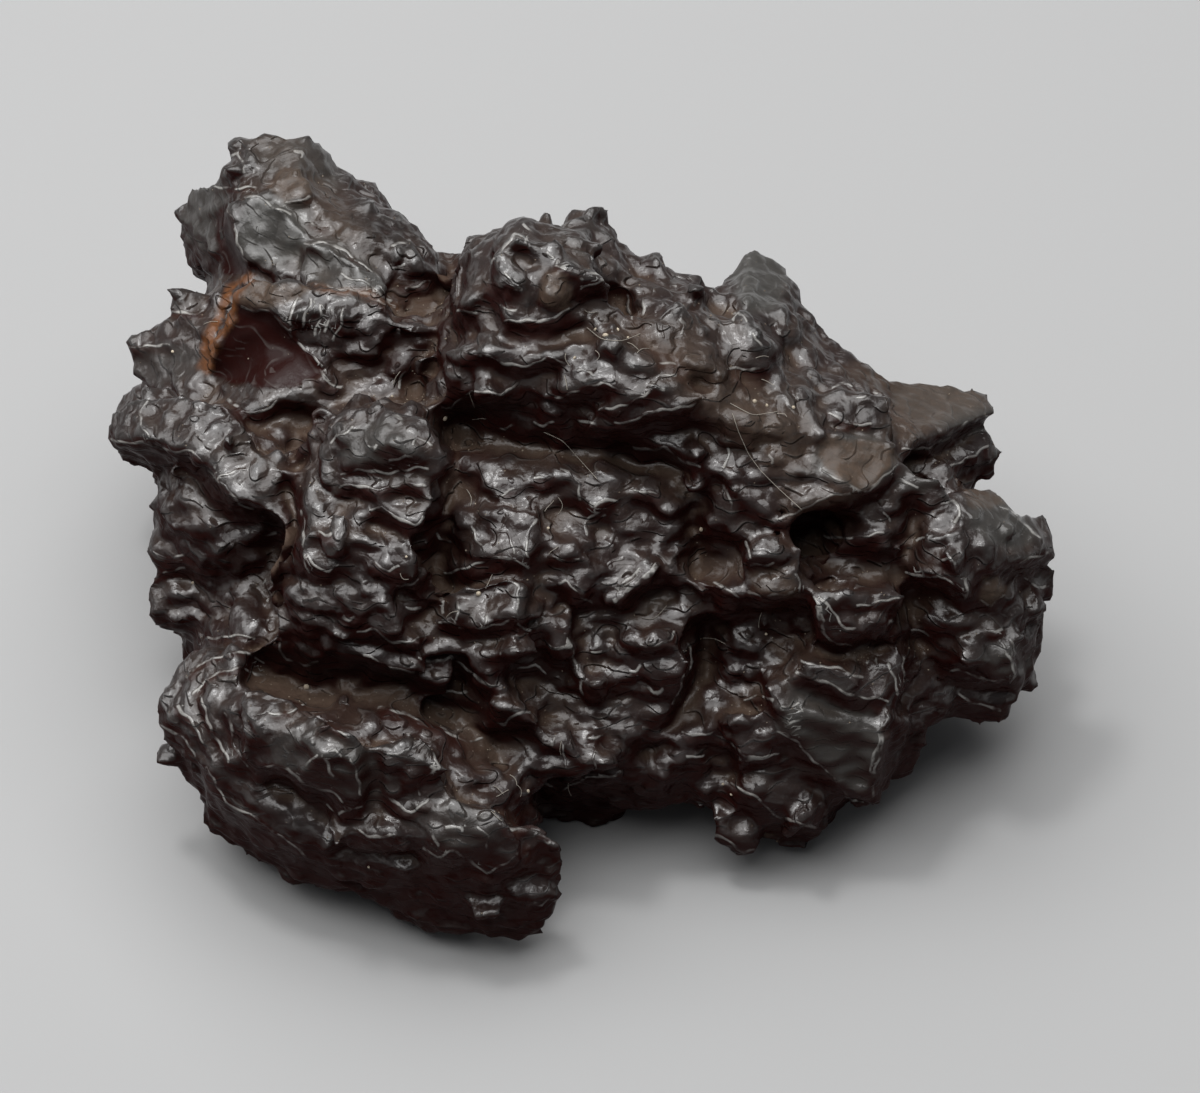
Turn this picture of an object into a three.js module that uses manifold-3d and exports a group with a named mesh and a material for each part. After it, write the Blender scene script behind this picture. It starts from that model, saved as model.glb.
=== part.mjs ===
// A prophecy stone: one natural lump of goethite and hematite that took the place of marcasite
// crystals grown together. It has no separate pieces. Millimetres, +Z up, standing on its lowest knobs.
import * as THREE from 'three';
import { ConvexGeometry } from 'three/addons/geometries/ConvexGeometry.js';
import { ImprovedNoise } from 'three/addons/math/ImprovedNoise.js';
import { mergeVertices } from 'three/addons/utils/BufferGeometryUtils.js';
import Module from 'manifold-3d';

// Driving dimensions
const STONE_HEIGHT = 28;
const EYE_HEIGHT = STONE_HEIGHT / 2; // the height on the stone that the middle of the view looks at
const VIEW_ELEVATION = THREE.MathUtils.degToRad(48); // the stone is described as seen from here
const FOOT_TRIM = 0.6; // what is worn flat off the lowest knobs
const ROOT_DEPTH = 0.8; // how far a front crystal reaches towards the middle of the mass that it grows from

// The rounded masses
const LUMP_DETAIL = 2;
const LUMP_DETAIL_SMALL = 1;
const LUMP_SMALL_UNDER = 12; // a mass with no radius over this gets the smaller detail
const LUMP_ROUGHNESS = 0.1;
const COARSE_WAVE = 2.1;
const FINE_WAVE = 4.7;
const FINE_SHARE = 0.6;

// The crystals on the sides that are not described one by one
const CRUST_SEED = 29;
const CRUST_AREA = 33; // square millimetres of a mass for each crystal
const CRUST_SEAT = 0.84; // how far out on a mass its crystals start
const CRUST_BURIED = 0.85; // a seat this deep inside another mass has no crystal
const CRUST_SINKS = [0, 1.2, 2.4]; // how far a crystal may be sunk to keep its tip within the outline
const CRUST_FRONT = -0.1; // a crystal that faces the view more than this is described one by one instead
const CRUST_WIDTH = [5, 9];
const CRUST_FLATTEST = 0.55; // depth of a crystal as a share of its width, up to 1
const CRUST_HEIGHT = [2.8, 4.4];
const CRUST_TILT = 0.6;
const CRUST_SQUARE_SHARE = 0.7; // crystals with four sides, the rest have five
const CRUST_LEDGE_SHARE = 0.2;
const CRUST_BLUNT = [0.3, 0.7];
const WAIST = 0.84; // a crystal is narrower where it leaves the stone than at its shoulder
const SHOULDER_HEIGHT = 0.4;
const LEDGE_STEP = 0.14;
const TOP_HEIGHT = 0.86;

const MERGE_DISTANCE = 1e-4;
const GROUND_SIZE = 200;
const TO_VIEWER = new THREE.Vector3(0, -Math.cos(VIEW_ELEVATION), Math.sin(VIEW_ELEVATION));
const GOLDEN_ANGLE = Math.PI * (3 - Math.sqrt(5));

const wasm = await Module();
wasm.setup();
const noise = new ImprovedNoise();

// A point of the stone from where it is seen: across and up the view, at a height above the table.
function seen([across, up, height]) {
  const above = (height - EYE_HEIGHT) * Math.cos(VIEW_ELEVATION);
  return new THREE.Vector3(across, (up - above) / Math.sin(VIEW_ELEVATION), height);
}

// Whether a point, as seen, is inside the outline: a line from it to the right crosses the outline an odd
// number of times.
function withinOutline(point) {
  const up = point.y * Math.sin(VIEW_ELEVATION) + (point.z - EYE_HEIGHT) * Math.cos(VIEW_ELEVATION);
  let inside = false;
  OUTLINE.forEach(([across, height], i) => {
    const [nextAcross, nextHeight] = OUTLINE[(i + 1) % OUTLINE.length];
    if (height > up === nextHeight > up) return;
    const crossing = across + ((up - height) / (nextHeight - height)) * (nextAcross - across);
    if (crossing > point.x) inside = !inside;
  });
  return inside;
}

// Repeatable random numbers from 0 to 1.
function seededRandom(seed) {
  let state = seed >>> 0;
  return () => {
    state = (Math.imul(state, 1664525) + 1013904223) >>> 0;
    return state / 4294967296;
  };
}

// A closed geometry as a solid for joining and cutting.
function solidOf(geometry) {
  const bare = new THREE.BufferGeometry();
  bare.setAttribute('position', geometry.getAttribute('position'));
  bare.setIndex(geometry.index);
  const merged = mergeVertices(bare, MERGE_DISTANCE);
  const vertProperties = merged.getAttribute('position').array;
  const triVerts = new Uint32Array(merged.index.array);
  return new wasm.Manifold(new wasm.Mesh({ numProp: 3, vertProperties, triVerts }));
}

// A rounded mass of the stone: an uneven ellipsoid.
function lump({ at, size, turn = 0 }) {
  const detail = Math.max(...size) < LUMP_SMALL_UNDER ? LUMP_DETAIL_SMALL : LUMP_DETAIL;
  const geometry = new THREE.IcosahedronGeometry(1, detail);
  const position = geometry.getAttribute('position');
  const point = new THREE.Vector3();
  for (let i = 0; i < position.count; i++) {
    point.fromBufferAttribute(position, i).normalize();
    const coarse = noise.noise(...point.clone().multiplyScalar(COARSE_WAVE).add(new THREE.Vector3(...at)));
    const fine = noise.noise(...point.clone().multiplyScalar(FINE_WAVE).sub(new THREE.Vector3(...at)));
    point.multiplyScalar(1 + LUMP_ROUGHNESS * (coarse + FINE_SHARE * fine));
    position.setXYZ(i, point.x * size[0], point.y * size[1], point.z * size[2]);
  }
  geometry.rotateZ(THREE.MathUtils.degToRad(turn));
  geometry.translate(...at);
  return solidOf(geometry);
}

// A flat-faced crystal or broken block: the corners that show, and a root inside the mass it grows from.
function block(corners, mass) {
  const points = corners.map(seen);
  const root = new THREE.Vector3();
  for (const point of points) root.addScaledVector(point, 1 / points.length);
  root.lerp(new THREE.Vector3(...mass.at), ROOT_DEPTH);
  return solidOf(new ConvexGeometry([...points, root]));
}

// A crystal with flat sides that stands out of the stone, perhaps with a ledge where it stopped growing.
function crystal({ seat, out, width, depth, height, sides, ledge, blunt, roll }) {
  const profile = [[0, -height], [WAIST, 0], [1, SHOULDER_HEIGHT * height]];
  if (ledge) {
    const middle = (1 + blunt) / 2;
    const ledgeHeight = height * (SHOULDER_HEIGHT + TOP_HEIGHT) / 2;
    profile.push([middle + LEDGE_STEP / 2, ledgeHeight], [middle - LEDGE_STEP / 2, ledgeHeight]);
  }
  profile.push([blunt, TOP_HEIGHT * height], [0, height]);
  const geometry = new THREE.LatheGeometry(profile.map((point) => new THREE.Vector2(...point)), sides);
  geometry.rotateY(roll);
  geometry.scale(width / 2, 1, depth / 2);
  const up = new THREE.Vector3(0, 1, 0);
  geometry.applyQuaternion(new THREE.Quaternion().setFromUnitVectors(up, out.clone().normalize()));
  geometry.translate(seat.x, seat.y, seat.z);
  return solidOf(geometry);
}

// The rounded masses, as places in the stone's own frame.
const MASSES = {
  middle: { at: [0, 3.4, 11.5], size: [13.6, 7.4, 9.4] },
  crown: { at: [-2.6, 6.4, 18.2], size: [5.4, 5.4, 6.6] },
  backSlope: { at: [1.6, 10.4, 12], size: [10, 5.6, 6.8] },
  backFoot: { at: [1, 12.6, 6.4], size: [11, 6.6, 6.6] },
  backLeft: { at: [-13.6, 15.4, 10.6], size: [6, 6, 8.2] },
  saddle: { at: [-8.2, 11.4, 12.6], size: [4.8, 5, 5.6] },
  backRight: { at: [7.4, 7.6, 12.8], size: [7, 6.2, 7] },
  leftShoulder: { at: [-13.4, 7.6, 13], size: [4.8, 4.6, 6.2] },
  leftFlank: { at: [-17, 4.6, 10.8], size: [4.2, 5, 5.8] },
  leftBack: { at: [-17.6, 10.4, 10.2], size: [4.2, 4.6, 6] },
  leftColumn: { at: [-10, 0.8, 14.6], size: [4.8, 4.4, 6.6] },
  leftHollow: { at: [-14.4, -1.6, 6.2], size: [4.9, 5.4, 5] },
  leftFoot: { at: [-10.8, -9, 5.2], size: [8.8, 5, 5.6], turn: -14 },
  frontSlope: { at: [-3, -3.6, 7.6], size: [8, 4, 5.8], turn: -6 },
  belly: { at: [2.6, -5, 6], size: [6.2, 4.2, 5] },
  rightSlab: { at: [15, 5, 10.8], size: [4.4, 4, 4.6] },
  rightCluster: { at: [18.4, -0.8, 9.2], size: [3.7, 3.6, 5] },
  rightOfMiddle: { at: [10, -2.6, 7.6], size: [6, 3.8, 5.4] },
  rightFoot: { at: [10.6, -5, 5], size: [4.6, 4, 4.8] },
};

// The stone's outline as seen, across and up the view. No crystal of the far sides stands out past it.
const OUTLINE = [
  [-20.5, 15], [-19.7, 17.6], [-18.2, 17.7], [-17.3, 19.6], [-15.4, 20], [-12.4, 19], [-10, 16.1],
  [-7, 14], [-5.6, 14.2], [-3.8, 15.4], [0.7, 16.1], [2.6, 13.6], [6.4, 12.2], [8.5, 14.2], [10.2, 13],
  [11.8, 9.6], [15.2, 7.6], [20.1, 6.7], [20.6, 3.6], [19.6, 2.6], [23.3, 0.6], [23.5, -2], [22.6, -6],
  [20.8, -9], [18, -9.3], [16.2, -12.2], [14.4, -13.4], [12.2, -14.8], [11, -15.9], [7.8, -16.3],
  [5, -14.1], [2.2, -13.6], [-0.8, -14.9], [-0.9, -17.8], [-3.6, -20], [-7.4, -19.8], [-12.4, -17.2],
  [-16, -16.4], [-19.2, -13.8], [-21.2, -9], [-19.4, -5.8], [-21.6, -4.2], [-21.8, 0], [-20, 2],
  [-23, 3.6], [-23.6, 5.3], [-21.6, 7.2], [-23, 9.6], [-20.4, 11.4], [-19.8, 13],
];

// The crystals and broken faces that show from the front, under the mass that each grows from.
// Each row is one crystal's corners, as seen.
const CRYSTALS = {
  // dome, left block, bright face, tan face, right slope, long blade
  backLeft: [
    [[-18.3, 17.8, 18], [-17.3, 19.6, 19], [-15.4, 20, 19.5], [-13.9, 19.7, 19.5], [-12.4, 19, 18.5],
     [-11.4, 17.6, 17.5], [-14, 18.2, 20.5], [-17, 18, 19.5]],
    [[-20.5, 16, 14], [-19.7, 17.6, 16], [-18.2, 17.7, 18], [-16.6, 17.1, 19.5], [-18.2, 14, 16.5],
     [-19.8, 13, 11.5]],
    [[-17.9, 16.4, 19.3], [-16.8, 16.9, 20], [-15, 16.2, 20.6], [-13.6, 15, 20.4], [-14.6, 12.9, 18.6],
     [-16.3, 12.8, 17.8], [-18.2, 13.2, 15.5]],
    [[-15.9, 17.1, 20.4], [-15.1, 18, 20.8], [-14, 18.3, 20.8], [-13.2, 16.9, 20.8],
     [-14.3, 16.3, 20.4]],
    [[-13.9, 18.2, 19.6], [-11.5, 17.7, 17.8], [-10, 16.1, 17.6], [-8.4, 15.2, 18], [-7, 14, 18.6],
     [-7.2, 12.6, 19], [-11.8, 15, 20.6], [-13.4, 16.6, 20.4]],
    [[-14, 14.5, 20.6], [-12.3, 14.1, 21], [-10.9, 13.2, 21], [-9.2, 12, 20.8], [-11, 12, 19.2],
     [-13.8, 12.6, 18.8]],
  ],
  // the block with the flat dark face and the rust-brown edge
  leftShoulder: [
    [[-17.3, 12.2, 20], [-16.2, 12.7, 20.6], [-14.5, 12.2, 21], [-12, 12, 21.4], [-9.2, 11.1, 21.6],
     [-15.2, 11, 20.4], [-16.8, 10.9, 19.4], [-18.8, 8.2, 16], [-17, 7.3, 14.6], [-12.8, 7.5, 15.6],
     [-10.2, 8.6, 19.4]],
  ],
  // grey point and upper bump
  leftBack: [
    [[-23.1, 9.7, 13.4], [-22, 10.3, 14.4], [-20.4, 10.8, 15.4], [-18.2, 10.6, 17], [-18.4, 7.6, 15.4],
     [-21.7, 7.2, 12.8], [-22.4, 8.2, 12.6]],
    [[-20.7, 11.5, 14.4], [-20, 12.1, 15.2], [-18, 12.2, 17], [-17.8, 10.2, 16.4], [-20.7, 10.5, 13.8]],
  ],
  // blunt knob and lower knobs
  leftFlank: [
    [[-23.6, 5.3, 14.6], [-23.4, 6.1, 15.2], [-21.7, 6.9, 16.4], [-21.2, 4.6, 16.2],
     [-23.1, 4.6, 14.4], [-23, 3.4, 12.6], [-20.6, 3.2, 13]],
    [[-21.2, 7, 16.4], [-20.4, 6.9, 17], [-17.6, 6.4, 18.4], [-16, 4.6, 18.8], [-18.4, 3.8, 17.4],
     [-21, 4.5, 16.3]],
    [[-18.4, 3.8, 17.4], [-16.2, 4.4, 18.4], [-14.4, 3, 18.6], [-15.4, 1, 17], [-17.6, 1.8, 16.6]],
    [[-20.2, 1, 11.6], [-21.5, 0.2, 10.8], [-22, -1, 10], [-21.4, -2.1, 9.2], [-19, -1.4, 10.6],
     [-18.6, 0.3, 12]],
    [[-21.8, -2.6, 8.8], [-21.7, -4.2, 7.4], [-20.9, -5, 6.6], [-19.4, -4.6, 7.6], [-19.2, -2.8, 9.4]],
  ],
  // the knob on top and the stepped face under it
  leftColumn: [
    [[-12.9, 4.4, 20.2], [-12.2, 5.4, 21.2], [-10, 6.4, 22.2], [-7.6, 5.6, 22.4], [-6.4, 3.2, 21.2],
     [-7, 2.4, 20.2], [-12.6, 2.6, 19.2], [-9, 4.4, 23]],
    [[-14.6, 3, 18.4], [-13, 3.4, 19.6], [-7, 1.8, 20.6], [-7.8, 0, 19], [-14.8, -0.4, 16.6]],
    [[-15, -0.6, 16.6], [-13.4, 0, 18], [-8.2, -0.4, 19], [-8, -2.4, 17.4], [-15.7, -2.6, 14.8]],
    [[-15.7, -2.8, 14.2], [-13.6, -2.6, 15.6], [-9.6, -3, 16.4], [-8.4, -5.2, 14.6],
     [-14.8, -5.2, 12.2]],
    [[-15, -4.6, 12], [-13.2, -4.8, 13.4], [-8, -5.4, 14], [-7.6, -7, 12.4], [-14, -6.7, 11]],
  ],
  // grown-over left end, bright ridge, two crystals, right knobs, under face
  leftFoot: [
    [[-19.4, -5.6, 10], [-20, -8, 9.4], [-21.2, -8.8, 8.4], [-20.8, -10.6, 6.8], [-18.2, -11.5, 8],
     [-16.4, -8.6, 11.6], [-17, -5.4, 11.6]],
    [[-20.6, -10.8, 5.6], [-19.4, -12.5, 4.2], [-17.1, -13.5, 5.8], [-18.3, -11.4, 8],
     [-15.4, -14.2, 6.4], [-15.2, -10.4, 11]],
    [[-19.3, -14, 2.4], [-18, -15.1, 1.6], [-16, -16.4, 1.4], [-14.4, -16.6, 2], [-13.2, -16, 4.4],
     [-17, -13.6, 5.6]],
    [[-16.6, -7.4, 12.4], [-14, -8.3, 12.8], [-12.4, -9.3, 13], [-14, -10.2, 12], [-13.6, -12.4, 9.6],
     [-15.6, -11.6, 9.6], [-16.8, -9.6, 11.6]],
    [[-12.4, -9.2, 13.4], [-10.9, -9.8, 13.2], [-13.9, -10.1, 12.4], [-12.7, -10.6, 12.6],
     [-13.4, -12.4, 9.8], [-10.7, -13.2, 9.4], [-10.9, -11.4, 12]],
    [[-7.7, -9.8, 12.8], [-9.9, -10.4, 12.4], [-6.4, -11.6, 11.4], [-7.6, -13.6, 8.8],
     [-9.4, -13.4, 9.2], [-9.9, -12, 11]],
    [[-8.8, -14, 9], [-6.6, -13.2, 10], [-4.2, -13.4, 9.8], [-2.8, -15, 8.4], [-3.4, -16.4, 6.8],
     [-7.4, -16, 6.8]],
    [[-12.4, -14.4, 8.2], [-9.2, -14, 8.8], [-8.2, -15.2, 7.8], [-11.4, -15.6, 6.6]],
    [[-2.6, -14.2, 8.6], [-0.8, -15.3, 7], [-0.9, -17.8, 4], [-2, -19.6, 2], [-3.6, -17.6, 5.4]],
    [[-12.4, -17.2, 2], [-9, -19, 1.2], [-7.4, -19.8, 0.8], [-3.6, -20, 1], [-2, -19.7, 1.4],
     [-1.2, -17.6, 4], [-5, -17, 6.4], [-11, -16, 6]],
  ],
  // the top knob with its peaks, the far peak, and two ledges in front
  crown: [
    [[-6.2, 13.6, 24.4], [-5.6, 14.2, 24.8], [-4.8, 14.2, 25.4], [-5, 11.6, 25.4], [-6.6, 11, 23.6]],
    [[-4.6, 14.4, 25.4], [-3.8, 15.4, 25.8], [-2.8, 15.6, 26.2], [-2.2, 14.4, 27.4],
     [-3.3, 14.4, 27.6], [-4.4, 13, 27], [-3, 12, 27]],
    [[-2.8, 15.5, 26.2], [-1.2, 15.2, 26], [0.2, 14.8, 26], [0.8, 13.6, 26.6], [-0.4, 13, 27.6],
     [-2.4, 13.6, 27.8]],
    [[-2, 12.6, 27.8], [-0.6, 13.1, 27.8], [1, 12.4, 27.2], [1.4, 12.2, 26.4], [-0.4, 11.4, 26],
     [-2, 10.7, 25.6], [1.2, 11.2, 25]],
    [[-6.6, 11.6, 24], [-5, 11.8, 25.6], [-3.6, 11.6, 26.6], [-2.4, 11.2, 26.4], [-3.2, 10.3, 25.2],
     [-6, 10.5, 23.4]],
    [[-1.2, 15.2, 23], [0.7, 16.1, 22.4], [1.2, 15.7, 22.2], [2.6, 13.6, 22], [1.8, 12.4, 24],
     [-0.4, 14.4, 25]],
    [[-7, 8.9, 23.2], [-4.6, 9, 24.6], [-1.6, 9, 25], [0.8, 9.4, 25], [-0.6, 8, 24], [-3.8, 8, 23.6],
     [-6.8, 7.6, 22.2]],
    [[-6.4, 7.4, 21.8], [-4.6, 7.6, 23], [-2.6, 7.6, 23.4], [-0.6, 8.4, 24], [-0.8, 6.8, 22.8],
     [-4, 6.6, 22], [-6, 6.4, 20.8]],
  ],
  // ledges with dark under faces, flat faces, and the slanting blade
  middle: [
    [[-1.2, 7.2, 23.4], [0.2, 8.2, 24.4], [3, 8.6, 25], [4.8, 7.8, 24.6], [1.6, 7.2, 24],
     [1.9, 6.6, 23.4], [-0.4, 6.6, 22.8]],
    [[0.8, 6.2, 23.2], [3.4, 7.2, 24.4], [4.8, 7.6, 24.6], [6.4, 6.6, 23.6], [4.4, 6, 22.8],
     [0.2, 5.2, 21.8]],
    [[-5.8, 6, 20.6], [-0.4, 6.2, 22], [5.8, 6.6, 22.8], [6.8, 5.6, 22], [2.2, 3.6, 18.6],
     [-0.6, 3, 17.8], [-4.8, 4.2, 18.4]],
    [[1.4, 10, 25.4], [2.6, 10.2, 25.2], [5, 11, 24], [7, 10.8, 22.8], [7, 7.6, 23.6], [4.8, 8, 24.8],
     [1, 8.8, 25.2]],
    [[-5.8, 4, 18.6], [-3.4, 3.4, 19.4], [-0.6, 3.1, 19.6], [0.2, 2, 18.6], [-4, 1.8, 18],
     [-5.8, 2, 17.8]],
    [[2, 3.4, 19], [4, 4.4, 20.4], [6.4, 3.6, 20], [7.8, 2.6, 19.6], [6.4, 2.4, 18.6], [2.4, 2.4, 18]],
    [[-6.4, 1, 17.6], [-4, 1.2, 18.4], [-2.2, 1, 18.4], [-2.4, -1.4, 16.6], [-5.6, -1.4, 16]],
    [[-2, -0.6, 17], [-0.2, -0.4, 17.4], [0.6, -1.8, 16.2], [0.2, -3.4, 14.8], [-1.6, -2.4, 15.4]],
    [[1, -3.2, 14.6], [3.2, -1.2, 16.2], [4, -1.5, 16], [1.7, -3.9, 13.8]],
    [[6.2, 2.6, 19.2], [7.6, 3, 19.6], [9.4, 1.6, 18.6], [9, 0.2, 17.4], [6.2, 0.2, 17]],
  ],
  // small flat faces and knobs down the front
  frontSlope: [
    [[-7.1, -2.9, 15.6], [-3.6, -2.2, 16.8], [-2.8, -2.4, 16.6], [-2.8, -4.6, 14.6], [-7, -4.6, 13.8]],
    [[-6, -5.2, 13.8], [-4.8, -5.6, 13.8], [-2.8, -5, 14.2], [-4, -7.2, 12], [-5.4, -7, 12]],
    [[-1.8, -4.6, 14], [-0.4, -4.2, 14.4], [-0.4, -6.2, 12.4], [-1.4, -6.2, 12.2]],
    [[2, -5, 13], [3.6, -4.6, 13.6], [5.4, -6.2, 12.2], [5, -7.8, 10.4], [4.2, -8.4, 9.8],
     [2.8, -7.8, 10.4]],
    [[0, -6.8, 11.8], [1.3, -7.1, 11.6], [1.5, -8.2, 10.4], [0.2, -8.3, 10.2]],
    [[-4.6, -8.2, 11.4], [-3.6, -8, 11.8], [-2, -9.6, 10.4], [-3.8, -9.4, 10]],
    [[-2.2, -10, 9.6], [0.8, -10.6, 9], [2, -11.6, 8], [-0.4, -12.2, 7.2], [-2.6, -12.2, 7]],
  ],
  // low bumps, a knob, the far pyramid, and the shoulder
  backRight: [
    [[2.4, 12.2, 23.4], [3.4, 13, 21.6], [4.7, 12.9, 21.4], [6.2, 12.2, 21], [5.8, 11, 22.8],
     [3, 10.6, 24.2]],
    [[7.4, 10.8, 23.4], [8.1, 10.9, 23.4], [9.2, 9.6, 23.2], [9.8, 8.4, 22], [8.8, 7.9, 21.4],
     [7.1, 8, 22], [7, 9.6, 23]],
    [[6.5, 12.1, 19.6], [8.5, 14.2, 19.6], [9.3, 13.6, 19.4], [10.2, 13, 18.6], [11, 11, 18],
     [11.8, 9.6, 18], [9.6, 9.6, 21.6], [8, 11, 22]],
    [[11, 10.4, 18], [13.4, 8.8, 17.4], [15, 7.9, 17], [14, 6.4, 19], [10.6, 7.4, 21]],
    [[6.8, 7.2, 22.6], [11, 7.2, 21], [12, 6, 20.6], [11.6, 4.4, 20.6], [7.6, 4.8, 21.6],
     [6.6, 6, 22.4]],
    [[11.8, 6.2, 20.4], [12.4, 7.2, 20.6], [13.5, 7.1, 20.6], [14.6, 6.8, 20.4], [15.2, 6.6, 19.8],
     [14.9, 5.2, 19], [12.2, 5.5, 20]],
  ],
  // the slab in two layers, and the tan broken face in front of it
  rightSlab: [
    [[15.2, 7.6, 16.6], [18.3, 7.4, 15.6], [20.1, 6.7, 15], [20.6, 6, 15], [19, 5.5, 15.8],
     [16, 4.4, 18], [14.2, 5.2, 18.6]],
    [[16.4, 4.2, 16.2], [19.8, 5.2, 14.4], [20.6, 4.8, 13.8], [20.6, 3.6, 12.6], [19.4, 2.6, 13],
     [16.4, 3, 15.6]],
    [[11.7, 4.3, 20.2], [12.4, 5, 20.6], [15.6, 4.5, 19.4], [15.2, 3.2, 18.8], [14, 2.1, 18.6],
     [13, 2, 18.8], [12.2, 2.8, 19.4], [10, 1.2, 18.4], [13.4, 1.2, 17.4]],
    [[9.2, 4.2, 20.6], [10.4, 5, 20.8], [11.6, 3.6, 20.2], [10.4, 2.2, 19], [8.4, 2.4, 19.2]],
  ],
  // knobs and facets crowded at the right end
  rightCluster: [
    [[14, 1.6, 17.4], [15.2, 2.6, 18], [16.4, 3, 18.2], [17.8, 2.9, 18], [18, 2, 17], [16.8, 1, 16.6],
     [14.8, 0.4, 16.2]],
    [[18.2, 2, 15.8], [18.8, 2.5, 15.8], [20.2, 2.3, 15], [21.1, 1.2, 14.6], [19.4, 0.6, 16.4],
     [18.4, 0.8, 16.6]],
    [[19.6, 0.6, 16.2], [21.2, 1.2, 14.6], [22.8, 1, 12.8], [23.3, -0.2, 12.4], [23.4, -1.2, 11.8],
     [21, -1.8, 13.2], [19.8, -2, 14.6], [22.2, -0.1, 13.6]],
    [[21.6, -2.2, 12], [23.6, -1.6, 10.8], [23.5, -2.4, 10.2], [23.2, -3.6, 9], [22.2, -3, 10.4]],
    [[16.4, -0.2, 16], [17.4, 0, 16.4], [18.6, -0.2, 16.4], [19.2, -2, 14.8], [19.2, -3.4, 13.4],
     [18, -2.4, 14.4], [16.2, -2, 14]],
    [[19.6, -2, 14], [20.3, -2.1, 13.8], [21, -2.9, 12.8], [20.3, -3.7, 12.2], [19.8, -3.2, 12.8]],
    [[18.4, -6.4, 10.2], [19.4, -5.4, 11], [20.6, -5.1, 10.8], [21.4, -6.2, 9.4], [21.7, -7.2, 8.2],
     [20.6, -7.6, 8]],
    [[22.9, -4.4, 8.6], [22.5, -6.2, 7], [22.4, -6.8, 6.4], [21.8, -7.6, 6.2], [21.4, -5.4, 9]],
    [[17, -6.8, 8.6], [17.1, -8.8, 6], [18, -9.3, 5], [19.5, -9.6, 4.4], [20.9, -9, 4.8],
     [21.7, -8.2, 5.8], [18.8, -7, 8.4]],
    [[13.2, 0.4, 16.2], [14.6, 0.2, 16.4], [16.2, -0.4, 15.6], [16, -2.4, 13.6], [12, -1.4, 14.6]],
  ],
  // the bright point, blades and the fluted crystal
  rightOfMiddle: [
    [[11.2, -2.9, 15.6], [12.6, -2.6, 15.8], [13.7, -4.7, 13.8], [13.5, -5.7, 12.6], [12.2, -5.2, 13],
     [15.8, -3.1, 14.2], [15.4, -4.4, 12.8]],
    [[8, -2.2, 16], [10.2, -1.9, 16.4], [10.6, -2.8, 15.6], [8.9, -3.2, 15]],
    [[7.8, -1.4, 16.8], [8.6, -0.2, 17.6], [10.4, -0.4, 17.4], [10.8, -1.6, 16.4]],
    [[10.4, -6, 12.6], [12.2, -6.6, 12.4], [13.9, -7.4, 11.4], [13.2, -8, 10.6], [10.8, -7, 11.4]],
    [[14, -5.8, 12.2], [15.6, -5.2, 12], [16.2, -7.8, 9.4], [15.3, -8.4, 9], [14, -7.6, 10.6]],
    [[5.2, -2.2, 15.4], [7.8, -3, 15], [7.6, -3.6, 14.2], [6, -4, 13.6]],
  ],
  // the big flat wedge, the one behind it, striated strips, the lowest points
  rightFoot: [
    [[8.7, -7.2, 11.4], [9.6, -8.2, 11], [12, -8.7, 10.6], [14.9, -9, 9.6], [14.8, -10.5, 8],
     [14.3, -13.6, 4], [13, -12.9, 5], [10.8, -10.4, 8], [9.4, -9.6, 9.2], [16.2, -8.8, 8],
     [15.3, -12.6, 3.4]],
    [[16.4, -9, 7], [17.1, -9, 6.6], [17.1, -10.4, 5], [16.4, -12.2, 2.6], [15.2, -12.7, 2.6]],
    [[7.3, -8.9, 10.2], [9, -9.9, 9.2], [12.2, -13.3, 4.8], [11.5, -14.8, 2.8], [9.8, -14, 4.2],
     [7.6, -12.2, 6.4]],
    [[6.2, -14, 4.4], [7.6, -13.8, 4.8], [8.9, -15, 3.2], [8.6, -15.7, 2.2], [7.8, -16.3, 1.4],
     [6.6, -15.3, 2.2]],
    [[8.9, -14.2, 3.2], [12.3, -13.8, 3.4], [12.2, -14.8, 2], [11.2, -15.8, 0.8], [9.6, -15.9, 0.8]],
  ],
};

// Whether a point is deep inside a mass.
function buried(point, { at, size }) {
  const share = point.clone().sub(new THREE.Vector3(...at)).divide(new THREE.Vector3(...size));
  return share.length() < CRUST_BURIED;
}

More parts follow.
